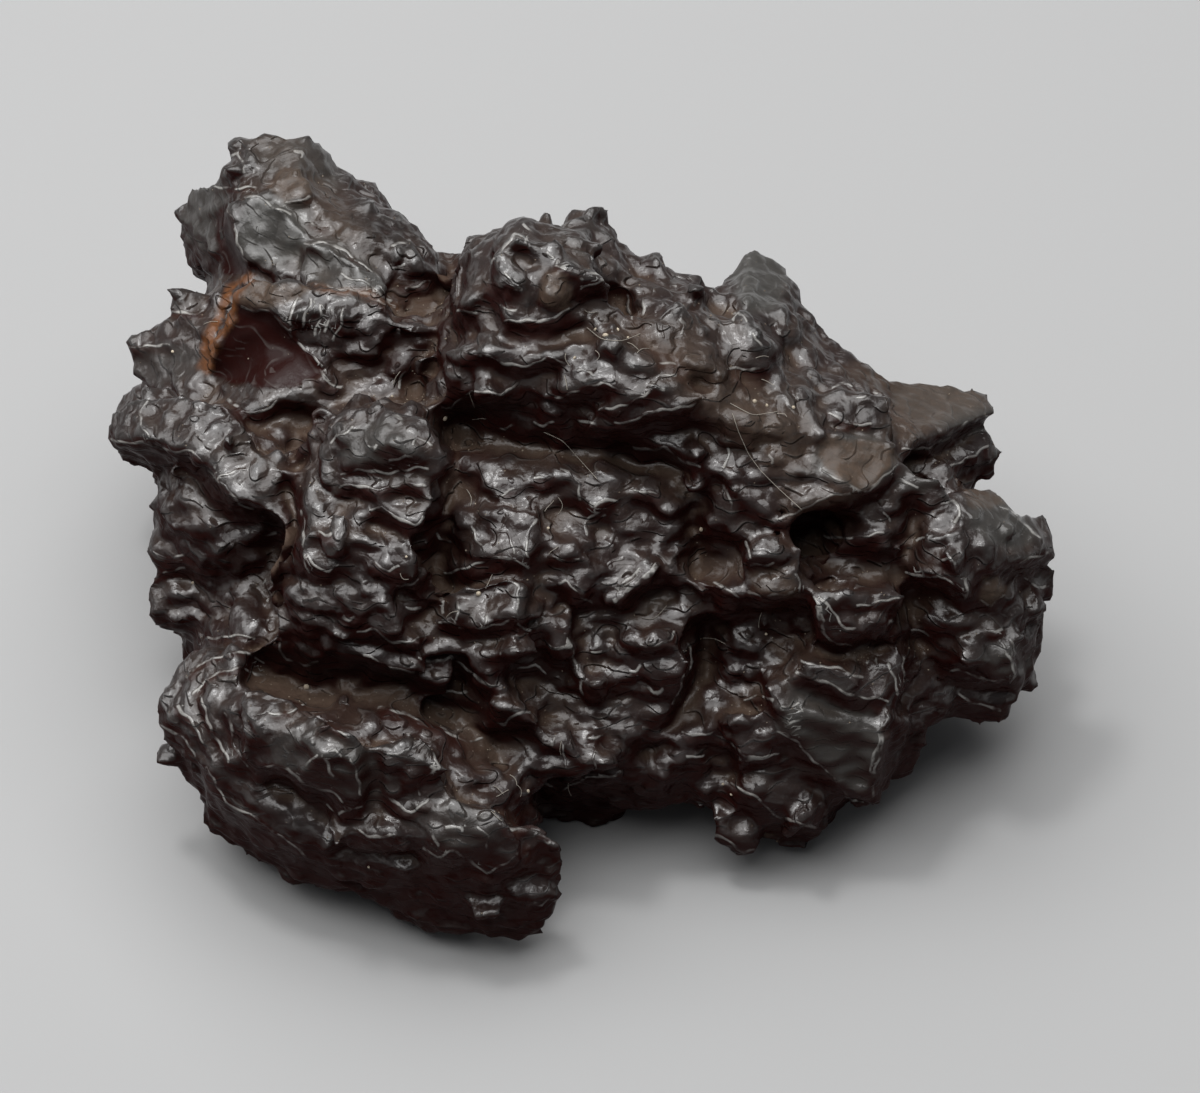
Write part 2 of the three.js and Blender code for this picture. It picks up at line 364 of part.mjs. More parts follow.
// The crystals that cover the masses where they face away from the view, pointing outwards.
function crust() {
  const random = seededRandom(CRUST_SEED);
  const between = ([low, high]) => low + (high - low) * random();
  const made = [];
  for (const mass of Object.values(MASSES)) {
    const size = new THREE.Vector3(...mass.size);
    const area = 4 * Math.PI * (size.x * size.y * size.z) ** (2 / 3);
    const count = Math.round(area / CRUST_AREA);
    for (let i = 0; i < count; i++) {
      const rise = 1 - (2 * (i + 0.5)) / count;
      const angle = i * GOLDEN_ANGLE + random();
      const flat = Math.sqrt(1 - rise * rise);
      const spot = new THREE.Vector3(flat * Math.cos(angle), flat * Math.sin(angle), rise);
      const seat = spot.clone().multiply(size).multiplyScalar(CRUST_SEAT).add(new THREE.Vector3(...mass.at));
      const out = spot.clone().divide(size).normalize();
      const facing = out.dot(TO_VIEWER);
      const tilt = new THREE.Vector3(random() - 0.5, random() - 0.5, random() - 0.5);
      out.addScaledVector(tilt, CRUST_TILT);
      const width = between(CRUST_WIDTH);
      const shape = {
        seat,
        out,
        width,
        depth: width * between([CRUST_FLATTEST, 1]),
        height: between(CRUST_HEIGHT),
        sides: random() < CRUST_SQUARE_SHARE ? 4 : 5,
        ledge: random() < CRUST_LEDGE_SHARE,
        blunt: between(CRUST_BLUNT),
        roll: Math.PI * random(),
      };
      const hidden = Object.values(MASSES).some((other) => other !== mass && buried(seat, other));
      out.normalize();
      const tip = (sink) => seat.clone().addScaledVector(out, shape.height - sink);
      const sink = CRUST_SINKS.find((depth) => withinOutline(tip(depth)));
      if (facing > CRUST_FRONT || hidden || sink === undefined) continue;
      seat.addScaledVector(out, -sink);
      made.push(crystal(shape));
    }
  }
  return made;
}

// The crystals that are described one by one.
function frontCrystals() {
  const rows = Object.entries(CRYSTALS);
  return rows.flatMap(([name, crystals]) => crystals.map((corners) => block(corners, MASSES[name])));
}

// Everything under the table's height is worn away, so that the lowest knobs are small flat feet.
function standing(solid) {
  const ground = new THREE.BoxGeometry(GROUND_SIZE, GROUND_SIZE, GROUND_SIZE);
  const low = Math.max(0, solid.boundingBox().min[2] + FOOT_TRIM);
  ground.translate(0, 0, low - GROUND_SIZE / 2);
  return solid.subtract(solidOf(ground));
}

// The outer skin only: pockets sealed between crystals are solid stone.
function filled(solid) {
  return solid.decompose().reduce((big, body) => (body.volume() > big.volume() ? body : big));
}

// The whole stone, over the middle of its own footprint.
function stone() {
  const lumps = Object.values(MASSES).map(lump);
  const joined = filled(standing(wasm.Manifold.union([...lumps, ...frontCrystals(), ...crust()])));
  const mesh = joined.getMesh();
  const geometry = new THREE.BufferGeometry();
  geometry.setAttribute('position', new THREE.BufferAttribute(mesh.vertProperties, 3));
  geometry.setIndex(new THREE.BufferAttribute(mesh.triVerts, 1));
  const box = joined.boundingBox();
  geometry.translate(-(box.min[0] + box.max[0]) / 2, -(box.min[1] + box.max[1]) / 2, -box.min[2]);
  geometry.computeVertexNormals();
  return geometry;
}

const dark = new THREE.MeshStandardMaterial({ color: 0x2b2422, roughness: 0.3, metalness: 0.4 });
const mesh = new THREE.Mesh(stone(), dark);
mesh.name = 'stone';

const group = new THREE.Group();
group.add(mesh);
export default group;
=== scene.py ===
"""Looks of a prophecy stone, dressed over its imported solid.

The stone is one natural lump of goethite and hematite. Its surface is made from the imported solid: small
crystals are grown on it, the whole is joined in one skin, and ledges, knobs and wrinkles are raised on that.
Lengths are millimetres, except where a name ends in _m. A place "as seen" is across and up the front view,
from the middle of the stone.
"""

from __future__ import annotations

import logging
import math
from dataclasses import dataclass, field
from enum import Enum

import bmesh
import bpy
import numpy as np
from mathutils import Matrix, Vector
from mathutils.bvhtree import BVHTree

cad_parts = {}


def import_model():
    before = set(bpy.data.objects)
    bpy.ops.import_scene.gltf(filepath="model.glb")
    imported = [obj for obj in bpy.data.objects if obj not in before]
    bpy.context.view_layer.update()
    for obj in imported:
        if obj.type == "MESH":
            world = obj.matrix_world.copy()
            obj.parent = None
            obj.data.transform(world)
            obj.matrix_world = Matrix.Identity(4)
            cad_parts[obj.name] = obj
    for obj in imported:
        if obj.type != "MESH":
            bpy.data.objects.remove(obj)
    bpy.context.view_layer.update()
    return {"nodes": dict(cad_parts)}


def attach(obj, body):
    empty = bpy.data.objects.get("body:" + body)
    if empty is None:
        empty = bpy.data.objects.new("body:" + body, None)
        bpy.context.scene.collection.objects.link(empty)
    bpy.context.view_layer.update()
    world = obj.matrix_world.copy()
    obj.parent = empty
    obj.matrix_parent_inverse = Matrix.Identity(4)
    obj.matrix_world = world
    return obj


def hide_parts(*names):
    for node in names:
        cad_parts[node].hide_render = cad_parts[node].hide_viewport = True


Pair = tuple[float, float]
Triple = tuple[float, float, float]
Quad = tuple[float, float, float, float]
Path = tuple[Pair, ...]
LOG = logging.getLogger("prophecy_stone")
MM = 0.001
VIEW_ELEVATION = math.radians(48)
TO_VIEWER = Vector((0, -math.cos(VIEW_ELEVATION), math.sin(VIEW_ELEVATION)))
UP_THE_VIEW = Vector((0, math.sin(VIEW_ELEVATION), math.cos(VIEW_ELEVATION)))
PHOTO_WIDTH_PX = 1200
PHOTO_HEIGHT_PX = 1093
STONE_LEFT_PX = 108
STONE_RIGHT_PX = 1055
STONE_TOP_PX = 137
STONE_BOTTOM_PX = 937
STEP_LIP = 0.12
STEP_RIM_START = (0.03, 0.1)
STEP_RIM_END = (0.26, 0.12)
SWAYS = ((0.09, (2.3, 1.1), (2.1, -1.4)), (0.045, (7.1, -3.3), (6.4, 3.9)))
SPOT_RIM = 0.3
END_FADE = 0.5
RIM_WIDTH = 0.3
LIP_SHARE = 0.6
LEDGE_FOOT = 1.3
LEDGE_SHADE = (2.0, 1.6)
VALLEY_SHADE = 0.9
VALLEY_FLOOR = 0.4
KNOB_ROUNDNESS = 0.8


class Mark(Enum):
    """The numbers that the stone's mesh carries with each point."""

    CALM = "calm"
    # Calm faces: calmer relief, less dust, and a painted sheen where they look up.
    CALM_FACE = "calm_face"
    # Flat faces that get the dark maroon painted shade.
    FLAT = "flat"
    HOLLOW = "hollow"
    LIP = "lip"
    RIDGE = "ridge"
    RUST = "rust"
    SHADE = "shade"
    # Near raised lips, where thin painted highlights go.
    SHINE = "shine"
    # How shut in a point is; it darkens the colour as painted shade.
    SHUT = "shut"
    TAN = "tan"


class Graph:
    """A node tree while it is wired, for geometry and for shaders alike."""

    def __init__(self, tree: bpy.types.NodeTree) -> None:
        """Starts wiring a tree.

        Args:
            tree: the tree that the nodes go in.
        """
        self.tree = tree

    def add(self, kind: str, **settings: object) -> bpy.types.Node:
        """Adds a node.

        Args:
            kind: the node's type name.
            **settings: the node's own settings.

        Returns:
            The node.
        """
        node = self.tree.nodes.new(kind)
        for name, value in settings.items():
            setattr(node, name, value)
        return node

    def feed(self, socket: bpy.types.NodeSocket, value: object) -> None:
        """Gives an input a link or a fixed value.

        Args:
            socket: the input.
            value: another node's output, or the value.
        """
        if isinstance(value, bpy.types.NodeSocket):
            self.tree.links.new(value, socket)
        else:
            socket.default_value = value

    def math(self, operation: str, *values: object, clamp: bool = False) -> bpy.types.NodeSocket:
        """Adds a Math node.

        Args:
            operation: what it does.
            *values: its inputs in order.
            clamp: whether the result is kept from 0 to 1.

        Returns:
            The result.
        """
        node = self.add("ShaderNodeMath", operation=operation, use_clamp=clamp)
        for socket, value in zip(node.inputs, values):
            self.feed(socket, value)
        return node.outputs[0]

    def vector(self, operation: str, *values: object) -> bpy.types.NodeSocket:
        """Adds a Vector Math node.

        Args:
            operation: what it does.
            *values: its inputs in order; the second one of SCALE is a number.

        Returns:
            The result, a number for DOT_PRODUCT and LENGTH.
        """
        node = self.add("ShaderNodeVectorMath", operation=operation)
        self.feed(node.inputs[0], values[0])
        if operation == "SCALE":
            self.feed(node.inputs["Scale"], values[1])
        elif len(values) > 1:
            self.feed(node.inputs[1], values[1])
        return node.outputs["Value" if operation in ("DOT_PRODUCT", "LENGTH") else "Vector"]

    def ramp(
        self, value: object, low: float, high: float, to_low: float = 0.0, to_high: float = 1.0
    ) -> bpy.types.NodeSocket:
        """Adds a smooth step.

        Args:
            value: what is mapped.
            low: where the step starts.
            high: where the step ends.
            to_low: the result before the step.
            to_high: the result after the step.

        Returns:
            The result.
        """
        node = self.add("ShaderNodeMapRange", interpolation_type="SMOOTHSTEP")
        for socket, number in zip(node.inputs, (value, low, high, to_low, to_high)):
            self.feed(socket, number)
        return node.outputs["Result"]

    def product(self, *values: object) -> bpy.types.NodeSocket:
        """Multiplies all its inputs."""
        result = values[0]
        for value in values[1:]:
            result = self.math("MULTIPLY", result, value)
        return result

    def total(self, *values: object) -> bpy.types.NodeSocket:
        """Adds up all its inputs."""
        result = values[0]
        for value in values[1:]:
            result = self.math("ADD", result, value)
        return result

    def largest(self, *values: object) -> bpy.types.NodeSocket:
        """Takes the largest of its inputs, kept from 0 to 1."""
        result = values[0]
        for value in values[1:]:
            result = self.math("MAXIMUM", result, value, clamp=True)
        return result

    def without(self, share: object, amount: float = 1.0) -> bpy.types.NodeSocket:
        """Takes a share off 1.

        Args:
            share: the share.
            amount: how much of it counts.

        Returns:
            What is left of 1.
        """
        return self.math("MULTIPLY_ADD", share, -amount, 1.0, clamp=True)

    def part(self, vector: object, axis: str = "Z") -> bpy.types.NodeSocket:
        """Takes one part of a vector.

        Args:
            vector: the vector.
            axis: which part.

        Returns:
            The part.
        """
        node = self.add("ShaderNodeSeparateXYZ")
        self.feed(node.inputs[0], vector)
        return node.outputs[axis]

    def stirred(self, place: object, source: object, scale: float, amount: float) -> bpy.types.NodeSocket:
        """Shifts a position to and fro by a noise.

        Args:
            place: the position.
            source: the position that the noise is read at.
            scale: the noise's waves to the millimetre.
            amount: how far it shifts.

        Returns:
            The shifted position.
        """
        node = self.add("ShaderNodeTexNoise")
        self.feed(node.inputs["Vector"], source)
        self.feed(node.inputs["Scale"], scale)
        return self.vector("ADD", place, self.vector("SCALE", node.outputs["Color"], amount))

    def noise(
        self, place: object, scale: float, detail: float = 2.0, distortion: float = 0.0
    ) -> bpy.types.NodeSocket:
        """Adds a soft noise.

        Args:
            place: the position that it is read at.
            scale: waves to the millimetre.
            detail: how many finer layers it has.
            distortion: how far it is twisted.

        Returns:
            The noise's value.
        """
        node = self.add("ShaderNodeTexNoise")
        self.feed(node.inputs["Vector"], place)
        self.feed(node.inputs["Scale"], scale)
        self.feed(node.inputs["Detail"], detail)
        self.feed(node.inputs["Distortion"], distortion)
        return node.outputs[0]

    def cells(self, place: object, scale: float, smoothness: float) -> bpy.types.NodeSocket:
        """Adds rounded cells.

        Args:
            place: the position that they are read at.
            scale: cells to the millimetre.
            smoothness: how far neighbours flow into each other.

        Returns:
            The distance from a cell's middle, in cells.
        """
        node = self.add("ShaderNodeTexVoronoi", feature="SMOOTH_F1")
        self.feed(node.inputs["Vector"], place)
        self.feed(node.inputs["Scale"], scale)
        self.feed(node.inputs["Smoothness"], smoothness)
        return node.outputs["Distance"]

    def facets(self, place: bpy.types.NodeSocket, scale: float, steep: float) -> bpy.types.NodeSocket:
        """Adds flat facets, each tilted its own way.

        Args:
            place: the position that they are read at.
            scale: facets to the millimetre.
            steep: how far they tilt.

        Returns:
            The height, in millimetres.
        """
        node = self.add("ShaderNodeTexVoronoi", feature="F1")
        self.feed(node.inputs["Vector"], place)
        self.feed(node.inputs["Scale"], scale)
        tilt = self.vector("SUBTRACT", node.outputs["Color"], (0.5, 0.5, 0.5))
        offset = self.vector("SUBTRACT", place, node.outputs["Position"])
        return self.math("MULTIPLY", self.vector("DOT_PRODUCT", tilt, offset), steep)

    def steps(self, level: object) -> tuple[bpy.types.NodeSocket, bpy.types.NodeSocket]:
        """Adds steps like small ledges one over the other.

        Args:
            level: what counts the steps, growing upward.

        Returns:
            The height, 1 at each lip and falling away above it, and how close a point is to the lip.
        """
        part = self.math("FRACT", level)
        height = self.product(self.ramp(part, 0.0, STEP_LIP), self.math("SUBTRACT", 1.0, part))
        rim = self.product(self.ramp(part, *STEP_RIM_START), self.ramp(part, *STEP_RIM_END))
        return height, rim

    def blend(self, share: object, first: object, second: object) -> bpy.types.NodeSocket:
        """Adds a mix of two colours.

        Args:
            share: how much of the second there is.
            first: a colour or a link.
            second: a colour or a link.

        Returns:
            The mixed colour.
        """
        node = self.add("ShaderNodeMix", data_type="RGBA")
        self.feed(node.inputs[0], share)
        self.feed(node.inputs[6], first)
        self.feed(node.inputs[7], second)
        return node.outputs[2]


class GeometryTree(Graph):
    """A Geometry Nodes tree with one geometry in and out, and named numbers."""

    def __init__(self, name: str) -> None:
        """Makes the tree with its geometry sockets.

        Args:
            name: the tree's name.
        """
        tree = bpy.data.node_groups.new(name, "GeometryNodeTree")
        tree.is_modifier = True
        tree.interface.new_socket("Geometry", in_out="INPUT", socket_type="NodeSocketGeometry")
        tree.interface.new_socket("Geometry", in_out="OUTPUT", socket_type="NodeSocketGeometry")
        super().__init__(tree)
        self.entry = self.add("NodeGroupInput")
        self.leaving = self.add("NodeGroupOutput")
        self.values: dict[str, object] = {}

    @property
    def geometry(self) -> bpy.types.NodeSocket:
        """The geometry that comes in."""
        return self.entry.outputs["Geometry"]

    def knob(self, name: str, value: float | int, kind: str = "NodeSocketFloat") -> bpy.types.NodeSocket:
        """Adds a named input.

        Args:
            name: the input's name.
            value: what the modifier sets it to.
            kind: the socket type.

        Returns:
            The input, for use inside the tree.
        """
        socket = self.tree.interface.new_socket(name, in_out="INPUT", socket_type=kind)
        self.values[socket.identifier] = value
        return self.entry.outputs[name]

    def named(self, name: str) -> bpy.types.NodeSocket:
        """Reads a number that the mesh carries."""
        node = self.add("GeometryNodeInputNamedAttribute", data_type="FLOAT")
        node.inputs["Name"].default_value = name
        return node.outputs["Attribute"]

    def random_vector(self, low: object, high: object, seed: object) -> bpy.types.NodeSocket:
        """Adds a random vector for each point.

        Args:
            low: the least of each part.
            high: the most of each part.
            seed: what the chance starts from.

        Returns:
            The vector.
        """
        node = self.add("FunctionNodeRandomValue", data_type="FLOAT_VECTOR")
        ranges = [socket for socket in node.inputs if socket.enabled and socket.type == "VECTOR"]
        self.feed(ranges[0], low)
        self.feed(ranges[1], high)
        self.feed(node.inputs["Seed"], seed)
        return node.outputs[0]

    def move(self, geometry: bpy.types.NodeSocket, offset: object) -> bpy.types.NodeSocket:
        """Moves points by an offset.

        Args:
            geometry: what is moved.
            offset: how far, a vector.

        Returns:
            The moved geometry.
        """
        node = self.add("GeometryNodeSetPosition")
        self.feed(node.inputs["Geometry"], geometry)
        self.feed(node.inputs["Offset"], offset)
        return node.outputs["Geometry"]

    def blurred(self, value: object, rounds: int, weight: object = 1.0) -> bpy.types.NodeSocket:
        """Averages a vector over neighbouring points.

        Args:
            value: the vector.
            rounds: how many times.
            weight: how strongly, 0 to 1.

        Returns:
            The averaged vector.
        """
        node = self.add("GeometryNodeBlurAttribute", data_type="FLOAT_VECTOR")
        vectors = [socket for socket in node.inputs if socket.type == "VECTOR" and socket.enabled]
        self.feed(vectors[0], value)
        self.feed(node.inputs["Iterations"], rounds)
        self.feed(node.inputs["Weight"], weight)
        return next(socket for socket in node.outputs if socket.enabled)

    def smoothed(
        self, geometry: bpy.types.NodeSocket, rounds: int, weight: object = 1.0
    ) -> bpy.types.NodeSocket:
        """Rounds off a mesh.

        Args:
            geometry: the mesh.
            rounds: how many times it is averaged.
            weight: how strongly, 0 to 1.

        Returns:
            The rounded mesh.
        """
        node = self.add("GeometryNodeSetPosition")
        self.feed(node.inputs["Geometry"], geometry)
        place = self.add("GeometryNodeInputPosition").outputs[0]
        self.feed(node.inputs["Position"], self.blurred(place, rounds, weight))
        return node.outputs["Geometry"]

    def store(self, geometry: bpy.types.NodeSocket, name: str, value: object) -> bpy.types.NodeSocket:
        """Keeps a number with each point.

        Args:
            geometry: the mesh.
            name: what the number is called.
            value: the number.

        Returns:
            The mesh that carries it.
        """
        node = self.add("GeometryNodeStoreNamedAttribute", data_type="FLOAT", domain="POINT")
        self.feed(node.inputs["Geometry"], geometry)
        self.feed(node.inputs["Name"], name)
        values = [socket for socket in node.inputs if socket.name == "Value" and socket.enabled]
        self.feed(values[0], value)
        return node.outputs["Geometry"]

    def finish(self, geometry: bpy.types.NodeSocket, material: bpy.types.Material | None) -> None:
        """Ends the tree in Realize Instances and Set Material.

        Args:
            geometry: what leaves the tree.
            material: the finish, or None for a stage that is made into something else.
        """
        real = self.add("GeometryNodeRealizeInstances")
        self.feed(real.inputs[0], geometry)
        painted = self.add("GeometryNodeSetMaterial")
        self.feed(painted.inputs["Geometry"], real.outputs[0])
        painted.inputs["Material"].default_value = material
        self.feed(self.leaving.inputs[0], painted.outputs[0])

    def put_on(self, piece: bpy.types.Object) -> bpy.types.Modifier:
        """Puts the tree on an object, with its values.

        Args:
            piece: the object.

        Returns:
            The modifier.
        """
        modifier = piece.modifiers.new(self.tree.name, "NODES")
        modifier.node_group = self.tree
        for identifier, value in self.values.items():
            modifier[identifier] = value
        return modifier


def new_piece(name: str, mesh: bpy.types.Mesh) -> bpy.types.Object:
    """Puts a mesh in the scene.

    Args:
        name: the piece's name.
        mesh: its mesh.

    Returns:
        The object, at the origin.
    """
    piece = bpy.data.objects.new(name, mesh)
    bpy.context.scene.collection.objects.link(piece)
    return piece


def baked(piece: bpy.types.Object, name: str) -> bpy.types.Object:
    """Turns an object with modifiers into a plain mesh and removes the old object.

    Args:
        piece: the object.
        name: the new object's name.

    Returns:
        The plain object.
    """
    depsgraph = bpy.context.evaluated_depsgraph_get()
    mesh = bpy.data.meshes.new_from_object(piece.evaluated_get(depsgraph), depsgraph=depsgraph)
    mesh.name = name
    bpy.data.objects.remove(piece)
    return new_piece(name, mesh)


def as_seen(points: np.ndarray) -> np.ndarray:
    """Turns points into across and up of the front view, two columns."""
    return np.stack([points[:, 0], points @ np.array(UP_THE_VIEW)], axis=1)


def swayed(seen: np.ndarray) -> np.ndarray:
    """Shifts places as seen a little to and fro, so that drawn lines look grown."""
    across, up = seen.T
    moved = seen.copy()
    for reach, sideways, upright in SWAYS:
        moved[:, 0] += reach * np.sin(sideways[0] * up + sideways[1] * across)
        moved[:, 1] += reach * np.sin(upright[0] * across + upright[1] * up)
    return moved


def corners_of(mesh: bpy.types.Mesh, kind: str = "co") -> np.ndarray:
    """The vertices of a mesh as an array with a row each, or with "normal" their normals."""
    flat = np.zeros(len(mesh.vertices) * 3, np.float32)
    mesh.vertices.foreach_get(kind, flat)
    return flat.reshape(-1, 3).astype(float)


def middle_of_view(solid: bpy.types.Mesh) -> np.ndarray:
    """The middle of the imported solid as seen, in millimetres."""
    outline = as_seen(corners_of(solid) / MM)
    return (outline.min(axis=0) + outline.max(axis=0)) / 2


def keep(mesh: bpy.types.Mesh, name: str, values: np.ndarray) -> None:
    """Stores a number with each point of a mesh.

    Args:
        mesh: the mesh.
        name: what the number is called.
        values: the numbers.
    """
    kept = mesh.attributes.new(name, "FLOAT", "POINT")
    kept.data.foreach_set("value", values.astype(np.float32))


def tree_of(mesh: bpy.types.Mesh) -> BVHTree:
    """Makes a tree that rays are cast at.

    Args:
        mesh: a mesh in metres.

    Returns:
        The tree, in millimetres.
    """
    corners = corners_of(mesh) / MM
    return BVHTree.FromPolygons(corners.tolist(), [tuple(face.vertices) for face in mesh.polygons])


@dataclass(frozen=True)
class Spot:
    """A place on the stone as seen, with the size of what is there."""

    across: float
    up: float
    wide: float
    tall: float
    turn: float = 0.0
    amount: float = 1.0

    def share(self, seen: np.ndarray) -> np.ndarray:
        """How far points are inside the spot.

        Args:
            seen: across and up of each point.

        Returns:
            1 in the middle, 0 outside, with a soft rim.
        """
        return self.amount * np.clip((1 + SPOT_RIM / 2 - self.reach(seen)) / SPOT_RIM, 0, 1)

    def reach(self, seen: np.ndarray) -> np.ndarray:
        """How far points are from the middle, 1 on the spot's rim."""
        angle = math.radians(self.turn)
        x, y = seen[:, 0] - self.across, seen[:, 1] - self.up
        along = (x * math.cos(angle) + y * math.sin(angle)) / (self.wide / 2)
        over = (-x * math.sin(angle) + y * math.cos(angle)) / (self.tall / 2)
        return np.sqrt(along**2 + over**2)




@dataclass(frozen=True)
class Line:
    """A line on the stone as seen, that relief follows, rising by its rise."""

    path: Path
    rise: float

    def offsets(self, seen: np.ndarray) -> tuple[np.ndarray, np.ndarray]:
        """How far points are from the line.

        Args:
            seen: across and up of each point.

        Returns:
            The distance, more than 0 to the left of the line's run, and a fade to 0 at its ends.
        """
        best = np.full(len(seen), np.inf)
        side = np.ones(len(seen))
        along = np.zeros(len(seen))
        run = 0.0
        for start, end in zip(self.path, self.path[1:]):
            tail, step = np.array(start), np.array(end) - np.array(start)
            length = float(np.hypot(*step))
            offset = seen - tail
            share = np.clip(offset @ step / length**2, 0, 1)
            gap = np.hypot(*(offset - share[:, None] * step).T)
            nearer = gap < best
            best = np.where(nearer, gap, best)
            turn = step[0] * offset[:, 1] - step[1] * offset[:, 0]
            side = np.where(nearer, np.where(turn >= 0, 1.0, -1.0), side)
            along = np.where(nearer, run + share * length, along)
            run += length
        ends = np.minimum(along, run - along)
        fade = np.clip(ends / min(END_FADE, run / 3), 0, 1)
        return best * side, fade * fade * (3 - 2 * fade)

    def shade(self, seen: np.ndarray) -> np.ndarray:
        """How far points are in the shade of the line, none for a plain line."""
        return np.zeros(len(seen))


@dataclass(frozen=True)
class Ledge(Line):
    """A lip: gentle for the width of its top on the left of its run, steep and hollowed under its right."""

    top: float
    under: float

    def height(self, seen: np.ndarray) -> np.ndarray:
        """The relief that the ledge adds.

        Args:
            seen: across and up of each point.

        Returns:
            The height of each point.
        """
        gap, fade = self.offsets(seen)
        back = LIP_SHARE * np.clip(1 - gap / self.top, 0, 1)
        drop = LIP_SHARE + gap / self.under
        foot = (LIP_SHARE - 1) * np.clip(1 + (gap + self.under) / (LEDGE_FOOT * self.under), 0, 1)
        shape = np.where(gap >= 0, back, np.where(gap > -self.under, drop, foot))
        return self.rise * shape * fade

    def shade(self, seen: np.ndarray) -> np.ndarray:
        """How far points are in the hollow under the lip."""
        gap, fade = self.offsets(seen)
        start, fall = LEDGE_SHADE
        return fade * (gap < 0) * np.clip(start + fall * gap / self.under, 0, 1)


@dataclass(frozen=True)
class Ridge(Line):
    """A narrow crest, or a groove where the rise is less than 0."""

    width: float = 0.4

    def height(self, seen: np.ndarray) -> np.ndarray:
        """The relief that the crest adds.

        Args:
            seen: across and up of each point.

        Returns:
            The height of each point.
        """
        gap, fade = self.offsets(seen)
        return self.rise * fade * np.exp(-((gap / (0.5 * self.width)) ** 2))


@dataclass(frozen=True)
class Gap(Ridge):
    """A sunken valley between two masses of the stone, with painted shade at its bottom."""

    def shade(self, seen: np.ndarray) -> np.ndarray:
        """How far points are at the bottom of the valley."""
        gap, fade = self.offsets(seen)
        return VALLEY_SHADE * fade * np.exp(-((gap / (VALLEY_FLOOR * self.width)) ** 2))


@dataclass(frozen=True)
class Knob:
    """A rounded lump."""

    spot: Spot

    def height(self, seen: np.ndarray) -> np.ndarray:
        """The relief that the lump adds.

        Args:
            seen: across and up of each point.

        Returns:
            The height of each point.
        """
        reach = self.spot.reach(seen)
        return self.spot.amount * np.clip(1 - reach**2, 0, 1) ** KNOB_ROUNDNESS


@dataclass(frozen=True)
class Patch:
    """A closed outline on the stone as seen."""

    outline: Path
    amount: float = 1.0
    soft: float = 0.25

    def share(self, seen: np.ndarray) -> np.ndarray:
        """How far points are inside the outline.

        Args:
            seen: across and up of each point.

        Returns:
            The amount inside, 0 outside, with a soft rim.
        """
        inside = np.zeros(len(seen), bool)
        gap = np.full(len(seen), np.inf)
        for start, end in zip(self.outline, (*self.outline[1:], self.outline[0])):
            tail, step = np.array(start), np.array(end) - np.array(start)
            offset = seen - tail
            along = np.clip(offset @ step / (step @ step), 0, 1)
            gap = np.minimum(gap, np.hypot(*(offset - along[:, None] * step).T))
            if step[1]:
                crossing = start[0] + offset[:, 1] / step[1] * step[0]
                level = (start[1] > seen[:, 1]) != (end[1] > seen[:, 1])
                inside ^= level & (seen[:, 0] < crossing)
        return self.amount * np.clip(0.5 + np.where(inside, gap, -gap) / self.soft, 0, 1)


RUST = (
    Patch(
        (
            (-17.6, 12.3), (-16.5, 12.9), (-16.2, 12.5), (-16.8, 11.6), (-17.1, 10.6), (-17.9, 9.2),
            (-18.6, 7.8), (-19.1, 8.1), (-18.6, 10), (-17.9, 11.6),
        )
    ),
    Patch(((-13.2, 12.3), (-10.2, 11.9), (-9, 11.2), (-9, 11), (-10.4, 11.5), (-13.2, 12)), 0.5),
)
TAN = (
    Patch(
        ((-16.9, 11.9), (-16.6, 12.6), (-14.9, 12.3), (-13, 12.1), (-14, 11.4), (-15.3, 11.1), (-16.8, 11.2)),
        0.9,
    ),
    Patch(((-15.8, 17.2), (-14.8, 18.3), (-13.8, 18.2), (-13.1, 17), (-13.5, 16.6), (-14.6, 16.5)), 0.8),
    Patch(
        (
            (11.6, 4.3), (12, 4.8), (13, 4.6), (15.5, 4.2), (15.6, 3.6), (14.9, 3.1), (14.6, 2.5),
            (14, 2.2), (13.4, 2.2), (12.7, 2.5), (12.3, 3), (11.7, 3.6),
        )
    ),
    Patch(((-2.2, 11.2), (-1.6, 12.7), (-0.6, 12.5), (-0.3, 11.6), (-0.9, 10.8)), 0.8),
    Patch(((19.7, -2.2), (20.3, -2.1), (20.9, -2.8), (20.8, -3.1), (20.3, -3.6), (19.7, -3.3)), 0.9),
    Patch(((18.8, 2.3), (19.6, 2.5), (21, 2.2), (21, 1.4), (19.8, 1.2), (18.9, 1.4)), 0.6),
    Patch(((8.1, -1.8), (9.4, -1.7), (10.4, -2), (10.6, -3), (9.6, -3.2), (8.4, -3)), 0.45),
    Patch(((9.5, 2), (10.2, 2.5), (12, 2.4), (13.5, 2), (13.7, 1.8), (12, 1.2), (10, 0.6)), 0.4),
    Patch(
        (
            (2.5, 10.5), (6, 9), (9, 6.6), (11, 5.5), (11.5, 3.5), (10, 2.6), (8, 4), (6.5, 5.5),
            (4, 8), (2, 9.5),
        ),
        0.6,
        1.4,
    ),
    Patch(
        ((12.5, 8), (16, 8.6), (19.5, 8), (20.5, 6.4), (19, 5.8), (16, 4.3), (14.8, 4.8), (15.2, 6.8)),
        0.6, 0.9,
    ),
    Patch(((-17, 20), (-14.6, 20.2), (-11, 15.4), (-9.6, 14), (-12, 14.2), (-14.5, 16.6)), 0.35, 1.0),
)
# Flat faces that get the dark maroon painted shade, calmer relief and less coat.
FLAT = (
    Patch(((-18.3, 16.2), (-17.8, 16.4), (-16.3, 12.8), (-18, 12.9)), 1.0),
    Patch(
        ((-16.9, 11.1), (-15.3, 11.1), (-14.4, 9.9), (-12.6, 7.9), (-14, 7), (-17.5, 7.3), (-18.4, 8)),
        1.0,
    ),
)


